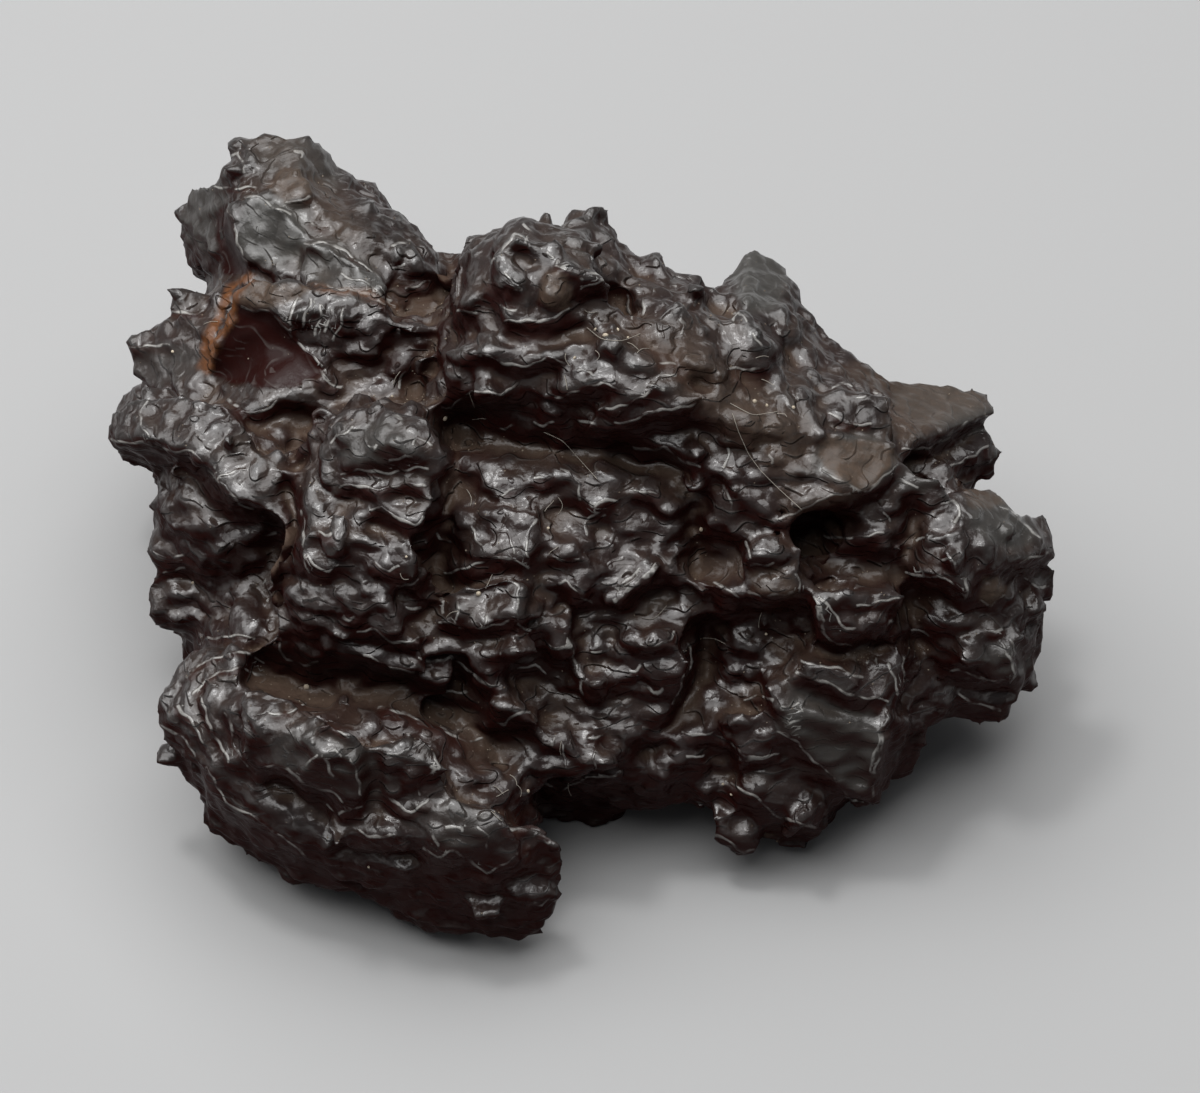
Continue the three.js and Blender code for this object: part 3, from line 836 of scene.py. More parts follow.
LEFT_FOOT = (
    Ledge(
        ((-18.6, -11.2), (-18.1, -12), (-17.3, -13.2), (-16.4, -13.8), (-15.4, -14.3), (-13.3, -16.1)),
        1.0, 1.6, 1.4,
    ),
    Ledge(((-20.9, -9.2), (-19.6, -10.2), (-18.8, -11.2)), 0.3, 0.6, 0.3),
    Ledge(((-20, -8.2), (-19, -9.4), (-18.4, -10.6)), 0.3, 0.6, 0.3),
    Ledge(((-18.9, -7.8), (-18.3, -9.2), (-17.6, -10.4), (-17.2, -11.6)), 0.35, 0.7, 0.3),
    Ledge(((-17.7, -8.6), (-17.1, -9.4), (-16.9, -10.6), (-16.2, -11.6)), 0.3, 0.7, 0.3),
    Ledge(((-13.2, -10.2), (-12.4, -9.3), (-11.9, -9.4), (-11, -10.1)), 0.5, 0.9, 0.35),
    Ledge(
        ((-15.6, -11.3), (-14.2, -11.6), (-13.3, -12.3), (-12, -12.8), (-11.2, -13.4), (-10.3, -13.4)),
        0.9, 1.2, 0.9,
    ),
    Ledge(((-12.7, -13.2), (-12, -13.7), (-11, -13.4)), 0.4, 0.5, 0.5),
    Ledge(((-9.7, -12.6), (-9.2, -13.2), (-8.4, -13.6), (-7.9, -13.3), (-7.2, -12.8)), 0.6, 0.7, 0.5),
    Ledge(
        ((-11.1, -14.4), (-10.6, -14.9), (-9.8, -14.9), (-9.2, -14.6), (-8.8, -15.1), (-8.4, -14.8)),
        0.6, 0.6, 0.8,
    ),
    Ledge(
        ((-8, -15.4), (-7, -15.8), (-6.1, -15.4), (-5.3, -16.2), (-4.6, -16.6), (-3.3, -15.9), (-3, -15)),
        0.8, 0.9, 1.1,
    ),
    Ledge(((-10.2, -8.6), (-8.3, -8.9), (-7, -9.5), (-5.5, -10.2), (-4.5, -10.2)), 0.6, 0.7, 0.8),
    Ledge(((-15.5, -8.9), (-14.3, -8.8), (-13.2, -8.1)), 0.35, 0.5, 0.3),
    Ledge(((-4.2, -14.2), (-3.2, -14.5), (-2.4, -14.2)), 0.4, 0.8, 0.6),
    Ledge(((-2.6, -17.9), (-1.9, -18.3), (-1.3, -17.6)), 0.4, 1.0, 0.6),
    Ridge(((-13.8, -11.7), (-13.1, -11), (-12.7, -10.5)), 0.28, 0.5),
    Ridge(((-12.7, -10.5), (-12.4, -11.3), (-12, -12.2)), 0.28, 0.45),
    Ridge(((-12.5, -10.8), (-11.9, -10.4), (-11.6, -11.2)), 0.2, 0.4),
    Ridge(((-11.3, -10.9), (-11.1, -11.5), (-10.9, -12.1), (-10.6, -13)), 0.28, 0.45),
    Ridge(((-9.7, -10.8), (-8.6, -10.7), (-7.7, -10.3), (-7.2, -10.9), (-6.8, -11.7)), 0.25, 0.5),
    Ridge(((-7.6, -11.2), (-7.1, -11.5), (-7.8, -12.1), (-8, -13)), 0.22, 0.45),
    Ridge(((-6.9, -14.4), (-5.9, -14.3), (-5.8, -14.8)), 0.25, 0.45),
    Ridge(((-7.3, -14.1), (-7.1, -15), (-6.6, -15.4)), 0.2, 0.4),
    Ridge(((-5.3, -14.2), (-4.6, -14.9), (-4.6, -15.8)), 0.2, 0.5),
    Ridge(((-10, -9.8), (-9.9, -11.5), (-10, -13)), -0.4, 0.6),
    Knob(Spot(-9, -12.2, 1.0, 0.7, 0, -0.2)),
    Knob(Spot(-15, -7.6, 1.3, 0.8, 0, 0.4)),
    Knob(Spot(-14.4, -12.6, 2.2, 1.4, -20, -0.25)),
    Knob(Spot(-3.9, -8.6, 1.2, 1.3, 0, 0.4)),
    Knob(Spot(-5.6, -14.7, 5.0, 3.0, -15, 0.5)),
)
MIDDLE = (
    Ledge(((-6.9, -2), (-5.4, -1.7), (-4, -1.2), (-3.2, -1.3), (-2.3, -1.9)), 1.2, 1.7, 0.9),
    Ledge(((-7.2, -4.4), (-5.6, -4.65), (-4.2, -4.6), (-3.4, -4.4), (-2.3, -4.8)), 1.0, 1.7, 0.6),
    Ledge(((-7.4, -6.4), (-6.4, -6), (-5.8, -6.6), (-5.2, -7.1), (-4.4, -7.5), (-3.8, -7.2)), 0.8, 1.3, 0.7),
    Ledge(((-1.8, -1.3), (-0.6, -1.35), (0.2, -1.1)), 0.6, 1.1, 0.4),
    Ledge(((-1.5, -2.5), (-0.7, -2.3), (-0.3, -2.9), (0, -3.3), (0.7, -3.5)), 0.7, 0.9, 0.7),
    Ledge(((-1.4, -4.7), (-0.8, -4.8), (-0.3, -4.5)), 0.5, 0.7, 0.3),
    Ledge(((1.5, -3.6), (2.7, -2.6), (4, -1.6)), 0.8, 0.5, 0.9),
    Ledge(((4.3, -8.6), (4.9, -7.6), (5.4, -6.4), (5.2, -5.2)), 0.8, 1.1, 0.5),
    Ledge(((2.6, -5.3), (3.2, -5.6), (4.2, -5.4), (4.8, -4.7)), 0.5, 0.8, 0.5),
    Ledge(((2.1, -6.6), (2.7, -6.8), (3.2, -6.3)), 0.4, 0.9, 0.4),
    Ledge(((2.9, -7.5), (3.6, -8), (4.2, -7.4)), 0.4, 0.8, 0.4),
    Ledge(((0.2, 1.6), (0.6, 1.2), (1.2, 1.7), (2, 1.5)), 0.6, 0.9, 0.6),
    Ledge(((2.4, 2.2), (3.3, 1.9), (4.4, 1.7)), 0.7, 0.7, 0.9),
    Ledge(((-4.3, 1.8), (-3.6, 2), (-2.9, 2.3)), 0.4, 0.8, 0.4),
    Ledge(((-2.6, 2.7), (-1.7, 2.5), (-1.3, 3)), 0.5, 0.7, 0.7),
    Ledge(((-7.4, 0.1), (-6.9, -0.5), (-6.2, -0.4)), 0.4, 0.7, 0.4),
    Ledge(((-3.4, -6.7), (-2.2, -6.6), (-1.4, -7.1)), 0.5, 0.9, 0.6),
    Ledge(((-7, -7.7), (-6, -8), (-5, -7.7)), 0.5, 0.6, 0.5),
    Ledge(((-4.5, -9.3), (-3.8, -9.5), (-3.1, -8.9), (-2.1, -8.7)), 0.5, 0.9, 0.6),
    Ridge(((-4.1, -0.2), (-3.6, 0.05), (-3.3, -0.4), (-3.2, -1.3)), 0.25, 0.35),
    Ridge(((-2.1, 1), (-2.5, 0.3), (-2.6, -0.4), (-2.5, -1.5)), 0.35, 0.45),
    Ridge(((-3.7, 1.1), (-3.75, 0)), 0.2, 0.4),
    Ridge(((-5.3, 0.6), (-5.1, -0.4), (-4.6, -1.3)), 0.2, 0.4),
    Ridge(((-3.5, -2.2), (-3, -2.7), (-3, -3.8), (-3.3, -4.5)), 0.4, 0.4),
    Ridge(((-6.1, -3.2), (-6, -4.6)), 0.25, 0.35),
    Ridge(((-6.9, -3.1), (-6.6, -4.3)), 0.2, 0.4),
    Ridge(((-4.8, -3.9), (-4.6, -4.6)), 0.18, 0.35),
    Ridge(((-4.1, -6.05), (-2.7, -5.15)), 0.4, 0.5),
    Ridge(((-1.9, -5.4), (-1.5, -5.75), (-0.7, -5.65), (-0.6, -4.9)), 0.3, 0.35),
    Ridge(((-0.6, -5), (-0.4, -6.2), (0, -7.2), (0.2, -8.3)), 0.35, 0.4),
    Ridge(((0.15, -5.4), (0.3, -6.4), (0.5, -7.6)), -0.35, 0.4),
    Ridge(((1, -1.75), (2.3, -1.1)), 0.35, 0.5),
    Ridge(((1.6, -2.9), (3, -1.5)), 0.3, 0.35),
    Ridge(((1.4, -3.4), (4, -1.4)), 0.35, 0.35),
    Ridge(((1.5, -3.15), (3.5, -1.5)), -0.3, 0.3),
    Ridge(((0.2, -0.3), (0.4, 0.6), (0.7, 1), (1.5, 0.8)), 0.3, 0.4),
    Ridge(((-1.3, 3.1), (-0.6, 3.1), (-0.2, 2.4), (-0.1, 1.2)), 0.35, 0.45),
    Ridge(((0.3, -5.9), (1.2, -5.9)), 0.25, 0.4),
    Ridge(((0.3, -7.5), (1.3, -7.15)), 0.3, 0.4),
    Knob(Spot(-1.2, -5.6, 1.5, 1.6, 0, 0.5)),
    Knob(Spot(0.9, -5.6, 1.3, 1.1, 0, 0.5)),
    Knob(Spot(0.9, -7.6, 1.4, 1.4, 0, 0.6)),
    Knob(Spot(1.1, 0, 1.4, 1.5, 0, -0.25)),
    Knob(Spot(-1.0, 1.0, 1.5, 1.0, 0, -0.22)),
    Knob(Spot(3.6, -5.4, 2.6, 1.8, 0, 0.5)),
    Knob(Spot(6.4, 1.5, 1.2, 1.7, 0, 0.5)),
)
LEFT_SIDE = (
    Ledge(((-23.6, 4.9), (-22.6, 4.4), (-21, 4.3), (-20, 4), (-19, 3.9), (-18.4, 3.2)), 1.1, 1.5, 1.1),
    Ledge(((-18.6, 3.5), (-18, 2.7), (-17.5, 2), (-16.8, 1.4), (-15.9, 1.2)), 0.9, 1.6, 0.9),
    Ledge(((-16.4, 0.1), (-15.6, -0.2), (-14.7, 0)), 0.6, 1.2, 0.5),
    Ledge(((-21.6, -2.3), (-20.6, -2), (-19.3, -1.8)), 0.7, 1.2, 0.5),
    Ledge(((-13.5, -1), (-12.9, -1.7), (-12.2, -1.8), (-11.5, -1.4)), 0.6, 0.6, 0.7),
    Ledge(((-13.2, 0.1), (-12.5, -0.2), (-11.9, 0)), 0.5, 0.6, 0.5),
    Ledge(((-14.9, -4.9), (-14.5, -6.2), (-13.6, -6.6), (-12.6, -6.2)), 0.8, 0.8, 1.1),
    Ledge(((-15.6, -3.4), (-15, -3.7), (-14.3, -3.3)), 0.5, 1.2, 0.4),
    Ledge(((-12.2, 2.2), (-11, 2.2), (-9.8, 2.2), (-8.6, 2.3), (-7.2, 2.2)), 0.8, 0.6, 0.6),
    Ledge(((-12, 2.8), (-10.8, 2.95), (-9.6, 2.95), (-8, 3.1), (-7.2, 3)), 0.45, 0.9, 0.25),
    Ledge(((-10.7, 1.2), (-9.8, 1.2), (-9.2, 0.7), (-8.2, 0.4), (-7.5, 1)), 0.8, 0.9, 0.7),
    Ledge(((-10.4, -1.4), (-9.5, -1.8), (-8.7, -1.5)), 0.5, 0.6, 0.5),
    Ledge(((-9.3, -2.6), (-8.4, -2.7), (-7.8, -2.2)), 0.5, 0.6, 0.5),
    Ledge(((-8.7, -3.7), (-7.8, -3.65), (-7.1, -3.6)), 0.6, 0.9, 0.6),
    Ledge(((-11.1, -4.9), (-10.2, -4.8), (-9.3, -5.3), (-8.4, -5.3), (-7.1, -4.9)), 0.7, 0.8, 0.5),
    Ledge(((-11, -6), (-10, -6.25), (-9, -6.7), (-7.8, -7.05)), 0.7, 0.6, 0.6),
    Ledge(((-8.1, -6.1), (-7.3, -6.4), (-6.4, -6.2)), 0.4, 0.6, 0.4),
    Ledge(((-11.8, -4), (-11.3, -4.3), (-10.9, -3.8)), 0.5, 1.0, 0.5),
    Ledge(((-19.7, -6.3), (-18.6, -5.2), (-17, -5), (-15.7, -5.4)), 0.3, 0.6, 0.3),
    Ledge(((-19.6, -7.3), (-18.4, -6.2), (-16.8, -5.9), (-15.4, -6.4)), 0.3, 0.6, 0.3),
    Ledge(((-19.4, -8.1), (-18, -7), (-16.6, -6.7), (-15.3, -7.1)), 0.3, 0.6, 0.3),
    Ledge(((-17.7, 6.7), (-16.6, 6), (-15.6, 6), (-14.8, 6.6)), 0.7, 1.1, 0.6),
    Ledge(((-13.2, 8.1), (-12.4, 7.4), (-11.5, 7.1)), 0.5, 0.7, 0.6),
    Ridge(((-21.4, 6.9), (-21.7, 6), (-21.6, 5.2), (-21.1, 4.4)), 0.4, 0.4),
    Ridge(((-18.1, 2.7), (-17, 2.9), (-16, 3.1)), 0.25, 0.4),
    Ridge(((-18.2, 3), (-17.4, 3.8), (-16.4, 3.9)), 0.22, 0.4),
    Ridge(((-21.7, -0.8), (-20.2, -1.3), (-19, -1)), 0.35, 0.5),
    Ridge(((-12.3, 4.1), (-12, 4.7), (-11.4, 5), (-11, 5.4)), 0.3, 0.45),
    Ridge(((-9.7, 5.3), (-9, 5.7), (-8.6, 5.2)), 0.3, 0.4),
    Ridge(((-8.2, 4.1), (-7.9, 4.7), (-7.4, 4.4), (-7, 4)), 0.3, 0.35),
    Ridge(((-9.7, 3.4), (-8.7, 3.8), (-7.9, 3.6)), 0.3, 0.35),
    Ridge(((-10.6, 4.3), (-10.2, 4), (-9.9, 4.3)), 0.25, 0.35),
    Ridge(((-14.6, 2.6), (-14.3, 0.4), (-14.4, -1.6)), -0.35, 0.4),
    Ridge(((-13.7, 1.4), (-13.6, -0.4), (-13.3, -2.2)), 0.35, 0.5),
    Ridge(((-15.3, -1.4), (-15.6, -2.6), (-15.2, -3.8)), 0.25, 0.5),
    Ridge(((-12.7, 3.8), (-12.9, 2.6), (-12.4, 1.6)), -0.3, 0.4),
    Ridge(((-9.1, 6.9), (-8.5, 8.3)), 0.4, 0.5),
    Knob(Spot(-20.2, -3, 1.6, 1.3, 0, 0.5)),
    Knob(Spot(-21.3, -4.1, 1.1, 1.2, 0, 0.5)),
    Knob(Spot(-9.8, 1.7, 1.4, 0.9, 0, 0.4)),
    Knob(Spot(-13.4, -4.4, 1.2, 1.8, 0, 0.5)),
    Knob(Spot(-11.4, -3.4, 1.1, 1.5, 0, 0.4)),
    Knob(Spot(-14.1, 5.7, 1.8, 1.3, 0, -0.3)),
)
CROWN = (
    Ledge(((-0.2, 11.9), (0.6, 12.1), (1.5, 12.3)), 0.6, 0.8, 0.7),
    Ledge(((-5, 12.2), (-3.7, 12), (-2.6, 11.8)), 0.7, 0.7, 0.7),
    Ledge(((-6.4, 10.9), (-5.6, 10.7), (-4.8, 10.7)), 0.8, 1.2, 1.0),
    Ledge(((-4.1, 10.3), (-3.4, 10.3), (-2.8, 10.2), (-1.6, 10.4), (-0.4, 11.2)), 0.9, 1.1, 1.2),
    Ledge(((-1.5, 13), (-0.7, 12.75), (-0.1, 12.6), (0.2, 12.1)), 0.4, 0.5, 0.35),
    Ledge(((-5.9, 8.9), (-4.8, 8.7), (-3.7, 8.2), (-2.5, 8.2), (-1.8, 8.5), (-0.6, 8.1)), 0.8, 0.9, 0.7),
    Ledge(((-7.1, 6.2), (-6.3, 6.1), (-5.4, 6.8), (-4.1, 6.8), (-3.4, 7.1), (-2.8, 7.6)), 0.9, 1.0, 1.0),
    Ledge(((-1.4, 6.5), (-0.6, 6.8), (0, 7), (1, 7.2), (2, 6.9)), 0.9, 1.2, 0.9),
    Ledge(((-0.5, 5.5), (0.3, 5.3), (1.1, 5.3)), 0.7, 0.6, 0.8),
    Ledge(((1, 6), (2.2, 6.3), (3.7, 6.9)), 0.6, 0.5, 0.4),
    Ledge(((1.5, 5.5), (2.4, 5.3), (3.3, 5.8), (4.5, 6.1), (6, 6.3)), 1.0, 0.8, 1.2),
    Ledge(((-2.6, 5.5), (-1.9, 5.3), (-1.2, 5.6)), 0.5, 0.6, 0.6),
    Ledge(((-4.2, 5.2), (-3.6, 5), (-3, 5.3)), 0.4, 0.6, 0.6),
    Ledge(((-2.9, 10.7), (-3.6, 11), (-4.1, 11.3)), 0.3, 0.4, 0.3),
    Ledge(((3.3, 8.2), (4, 8.3), (4.8, 8)), 0.5, 0.8, 0.5),
    Ledge(((2.2, 4.2), (3, 4.1), (4.2, 4.2), (4.9, 3.5), (6.2, 3.2)), 0.8, 0.9, 0.8),
    Ridge(((-4, 13.3), (-3.7, 14), (-3.3, 14.5), (-2.9, 14.4), (-2.5, 13.8)), 0.4, 0.4),
    Ridge(((-4.5, 12.6), (-4.2, 13.3), (-3.8, 13.4)), 0.3, 0.35),
    Ridge(((-3.9, 12.9), (-3.4, 12.3), (-2.8, 11.9)), 0.25, 0.35),
    Ridge(((-3, 15.2), (-2.6, 14.8), (-2.3, 14.4)), 0.3, 0.45),
    Ridge(((-1.2, 13.3), (-0.5, 13.1), (0.2, 12.9), (1, 12.4)), 0.35, 0.4),
    Ridge(((-1.9, 13.9), (-1.4, 13.3), (-0.6, 12.8)), 0.25, 0.4),
    Ridge(((-0.5, 7.7), (0, 8.05), (0.4, 7.9), (0.8, 7.4)), 0.3, 0.4),
    Ridge(((3.2, 7.1), (3.7, 7.2), (4, 6.9), (4.4, 6.8)), 0.3, 0.4),
    Ridge(((3.5, 7.5), (4.2, 7.6), (4.9, 7.6)), 0.25, 0.4),
    Ridge(((2.1, 12), (2.4, 11), (2.6, 10.4), (2.8, 9.6)), 0.35, 0.4),
    Ridge(((1.8, 12), (1.9, 10.6), (2, 9.6)), -0.5, 0.6),
    Ridge(((2.9, 12.2), (3, 11.2), (3.1, 10.2)), 0.25, 0.4),
    Ridge(((0.5, 14.9), (0.7, 14.2), (0.9, 13.4), (1.5, 12.6), (2.4, 12.2)), -0.3, 0.4),
    Ridge(((4.7, 10.8), (5, 10.2), (5, 9.4)), 0.25, 0.4),
    Ridge(((4, 10.4), (4.1, 9.4)), 0.25, 0.4),
    Ridge(((4.4, 12), (4.9, 12.1)), 0.25, 0.5),
    Ridge(((-6.9, 13.2), (-6.4, 11.9), (-6.7, 10.4)), -0.4, 0.5),
    Knob(Spot(-3, 13.2, 1.3, 1.5, 0, -0.2)),
    Knob(Spot(-5, 13.4, 1.8, 1.6, 0, 0.5)),
    Knob(Spot(-1.3, 11.7, 1.8, 2.0, 0, 0.35)),
    Knob(Spot(-5.6, 11.3, 1.6, 1.2, 0, 0.35)),
    Knob(Spot(-0.6, 14.3, 1.0, 0.9, 0, 0.4)),
    Knob(Spot(2.7, 8, 1.6, 1.2, 0, 0.4)),
)
BACK_LEFT = (
    Ledge(((-18.6, 17.4), (-17.2, 17.2), (-15.9, 17.1)), 0.4, 0.7, 0.3),
    Ledge(((-17.9, 16.4), (-17.3, 15.2), (-16.8, 14), (-16.4, 12.9)), 0.9, 1.6, 0.9),
    Ledge(((-12.7, 12.3), (-11.5, 12), (-10.2, 11.6), (-8.9, 11)), 0.7, 1.5, 0.4),
    Ledge(((-17, 11.1), (-15.3, 11), (-14.4, 9.9), (-13.3, 8.6), (-12.5, 7.8)), 0.35, 0.6, 0.5),
    Ledge(((-9, 12.1), (-8, 12.2), (-7.1, 12.5)), 0.5, 0.8, 0.5),
    Ledge(((-14.9, 16.6), (-14.2, 16.3), (-13.3, 16.7)), 0.5, 0.9, 0.3),
    Ledge(((-13.6, 15.6), (-12.9, 15.2), (-12.2, 15)), 0.3, 0.6, 0.3),
    Ledge(((-23, 9.3), (-21.6, 9.2), (-20.2, 9.4)), 0.35, 1.0, 0.5),
    Ledge(((-20.9, 11), (-19.6, 10.9), (-18.6, 11.2)), 0.4, 0.9, 0.4),
    Ridge(((-17.9, 18.5), (-17.2, 19.05), (-16.9, 18.4), (-16.8, 17.7)), 0.25, 0.45),
    Ridge(((-17, 16.7), (-16.3, 16.6), (-15.8, 16.7), (-15, 16.1), (-14, 15.6)), 0.25, 0.4),
    Ridge(((-14.1, 14.4), (-12.8, 14.4), (-11.6, 13.9), (-10.8, 13.3), (-9.5, 11.9)), 0.35, 0.4),
    Ridge(((-12.2, 13), (-10.6, 12.2), (-9.2, 11.4)), 0.25, 0.4),
    Ridge(((-14.4, 14.4), (-14.1, 13.6), (-13.9, 12.9)), -0.4, 0.4),
    Ridge(((-13.9, 11.7), (-14.3, 10.9), (-14.2, 9.8)), 0.25, 0.4),
    Ridge(((-13.3, 11.8), (-13.6, 10.8), (-13.7, 9.7)), 0.25, 0.35),
    Ridge(((-12.9, 11.6), (-12.9, 10.6), (-13.1, 9.4)), 0.25, 0.35),
    Ridge(((-12.4, 11.4), (-12.4, 10.6), (-12.7, 9.6)), 0.22, 0.35),
    Ridge(((-11.7, 11.3), (-11.9, 10.2), (-12.2, 9.1)), 0.25, 0.45),
    Ridge(((-10.6, 11.1), (-11, 10.3), (-11.2, 9.6)), -0.4, 0.4),
    Ridge(((-14.5, 19.1), (-13.9, 19), (-13.8, 18.6)), 0.25, 0.4),
    Ridge(((-9.7, 14.1), (-8.9, 14.3), (-8.4, 14.7)), 0.22, 0.4),
    Ridge(((-9.4, 12.9), (-8.5, 13.5)), 0.2, 0.4),
    Ridge(((-16.2, 15.4), (-16.1, 14.7)), 0.2, 0.35),
    Knob(Spot(-16, 10.6, 1.5, 0.8, 0, -0.2)),
    Knob(Spot(-12.6, 17.2, 1.2, 3.6, 55, -0.2)),
    Knob(Spot(-15.2, 14, 2.4, 1.0, -40, -0.15)),
)
RIGHT_SIDE = (
    Ledge(((7, 8), (8, 7.9), (9.5, 8.2)), 0.8, 1.0, 1.0),
    Ledge(((14.85, 5.2), (15, 6), (15.1, 6.6), (14.7, 7)), 0.6, 1.0, 0.35),
    Ledge(((12, 5.9), (13.2, 5.4), (14.6, 5.2)), 0.5, 0.9, 0.4),
    Ledge(((15.6, 4.2), (17, 4), (18, 4.7), (19.5, 5.7), (20.6, 5.9)), 0.9, 1.6, 0.5),
    Ledge(((18, 3.2), (19.3, 3.7), (20.5, 4.4)), 0.8, 0.9, 0.9),
    Ledge(((11.7, 3.3), (12.4, 2.7), (13.2, 2.2), (14.2, 2.1), (14.9, 2.9), (15.7, 3.5)), 0.6, 0.8, 0.6),
    Ledge(((9.2, 0.6), (10.5, 1), (12, 1.7), (13.5, 1.9)), 1.0, 1.3, 1.3),
    Ledge(((11.6, -0.1), (12.8, -0.2), (14, -0.3), (15.1, 0.1)), 0.8, 0.8, 1.3),
    Ledge(((7.9, -1.5), (9, -1.55), (9.8, -1.5)), 0.5, 0.9, 0.4),
    Ledge(((8, -2.7), (8.9, -3.25), (9.8, -3.05), (10.6, -2.8)), 0.8, 0.9, 0.8),
    Ledge(((6.3, -2.4), (7.2, -2.75), (8.1, -3.3)), 0.5, 0.4, 0.5),
    Ledge(((11.3, -3.4), (12, -5), (12.8, -5.5), (13.6, -5.7)), 0.9, 0.9, 0.5),
    Ledge(((13.2, -3.5), (14.2, -3.55), (15, -3.4), (15.9, -3.2)), 0.5, 0.5, 0.4),
    Ledge(((13.7, -4.5), (14.6, -4.65), (15.6, -4.2)), 0.7, 0.8, 0.8),
    Ledge(((10.3, -6.7), (11.5, -7.2), (12.7, -7.7), (14, -8.1), (15.3, -8.4)), 1.0, 1.3, 0.8),
    Ledge(((15.7, -2), (16.8, -2.15), (17.6, -2), (18.3, -2.6), (19.2, -3.4)), 0.9, 1.3, 0.8),
    Ledge(((20.9, -1.8), (22, -1.4), (23.4, -0.9)), 1.0, 1.5, 0.9),
    Ledge(((21.6, -2.3), (22.8, -2.65), (23.4, -2.5)), 0.6, 0.8, 0.6),
    Ledge(((19.5, -3.1), (20.25, -3.65), (21, -2.9)), 0.6, 0.9, 0.5),
    Ledge(((17.8, -6.8), (19, -6.95), (20, -7.2), (21.5, -7.5)), 0.9, 1.5, 0.5),
    Ledge(((18.5, -7.8), (19.8, -8.5), (21.1, -9)), 0.6, 0.7, 0.5),
    Ledge(((16, -4.8), (16.8, -4.9), (17.6, -5.3)), 0.5, 0.9, 0.5),
    Ledge(((19.6, -4.8), (20.3, -5), (20.9, -4.5)), 0.5, 0.7, 0.4),
    Ridge(((5.4, 11.4), (7, 11), (8.3, 11), (9.2, 10.4), (9.9, 9.6), (10.2, 8.8), (10.9, 7.8)), -0.45, 0.6),
    Ridge(((7.3, 10.2), (7.7, 10.9), (8, 10.7), (8.4, 10.1)), 0.35, 0.4),
    Ridge(((8.3, 9.9), (8.6, 9.3), (9, 8.7)), 0.3, 0.4),
    Ridge(((12, 6.9), (12.5, 7.25), (13.2, 7.2), (13.6, 6.9)), 0.3, 0.4),
    Ridge(((13.2, 6.5), (14.2, 6.9), (14.7, 6.95), (15.1, 6.5)), 0.3, 0.35),
    Ridge(((11.8, 7.7), (11.7, 6.6), (12.1, 5.7)), -0.4, 0.5),
    Ridge(((16, 2.75), (16.8, 2.8), (17.5, 2.9), (17.8, 2.6), (17.5, 2.1)), 0.3, 0.4),
    Ridge(((15.1, 2.7), (15.9, 2.3), (16.7, 2.2)), 0.25, 0.4),
    Ridge(((7, 4.4), (7.2, 3.6), (6.9, 2.8)), 0.3, 0.5),
    Ridge(((9, 4), (9.4, 3.6), (9.1, 3.2)), 0.3, 0.4),
    Ridge(((10.6, 4.9), (11.1, 4), (11.2, 2.8)), -0.4, 0.8),
    Ridge(((6.7, 1.7), (7, 2.25), (7.2, 1.8), (7.3, 1)), 0.35, 0.4),
    Ridge(((14.7, 1), (15, 0.7), (15.1, 0.3)), 0.3, 0.4),
    Ridge(((8.2, -0.3), (8.2, -0.9), (8.4, -1.5)), 0.3, 0.4),
    Ridge(((10.5, -1.8), (10.7, -2.4), (10.6, -3.1)), 0.35, 0.4),
    Ridge(((11.2, -2.9), (11.7, -4), (12.1, -5), (12.6, -5.5)), 0.35, 0.4),
    Ridge(((11.4, -3), (12.3, -3.9), (12.9, -4.6), (13.6, -4.9)), 0.35, 0.4),
    Ridge(((10.5, -6.2), (11.8, -6.5), (13, -6.9), (14, -7.1)), 0.35, 0.45),
    Ridge(((11.2, -6.75), (12.4, -7.15), (13.6, -7.5)), -0.25, 0.4),
    Ridge(((14, -6.4), (14.5, -5.9)), 0.3, 0.4),
    Ridge(((14.6, -5.9), (14.6, -6.7)), 0.3, 0.4),
    Ridge(((15, -6.1), (15.4, -7), (15.5, -7.8), (15.3, -8.3)), 0.45, 0.45),
    Ridge(((15.6, -5.3), (15.9, -6.5), (16, -7.7)), 0.35, 0.4),
    Ridge(((17.4, -1.3), (18, -1.15), (18.3, -1.7), (18.6, -2.3)), 0.35, 0.4),
    Ridge(((18.4, -2.5), (18.8, -2.3), (19, -2.7), (19, -3.4)), 0.35, 0.4),
    Ridge(((16.3, -1.3), (16.8, -1.9), (17.5, -1.8)), 0.3, 0.4),
    Ridge(((16.2, -0.5), (16.9, -0.3)), 0.3, 0.4),
    Ridge(((20.4, 1.3), (21.3, 1), (22, 0.3), (22.7, -0.6)), 0.35, 0.45),
    Ridge(((20.4, -5.1), (21, -5.9), (21.4, -6.7), (21.5, -7.5)), 0.35, 0.4),
    Ridge(((20.9, -4.9), (21.3, -5.7), (21.6, -6.6)), 0.25, 0.4),
    Ridge(((17.4, 1.2), (18.2, 1.5), (18.6, 0.9), (18.2, 0.2)), 0.25, 0.5),
    Knob(Spot(8.2, 9.4, 2.2, 3.0, 0, 0.5)),
    Knob(Spot(15.6, 0, 0.9, 0.9, 0, 0.4)),
    Knob(Spot(9.3, -0.9, 2.4, 1.3, 0, 0.4)),
    Knob(Spot(13.1, -2.9, 1.4, 1.1, 0, 0.5)),
    Knob(Spot(19.8, -0.8, 1.7, 2.0, 0, 0.5)),
    Knob(Spot(8.8, 1, 1.1, 1.2, 0, 0.5)),
    Knob(Spot(6, 0.3, 0.9, 0.6, 0, 0.3)),
)
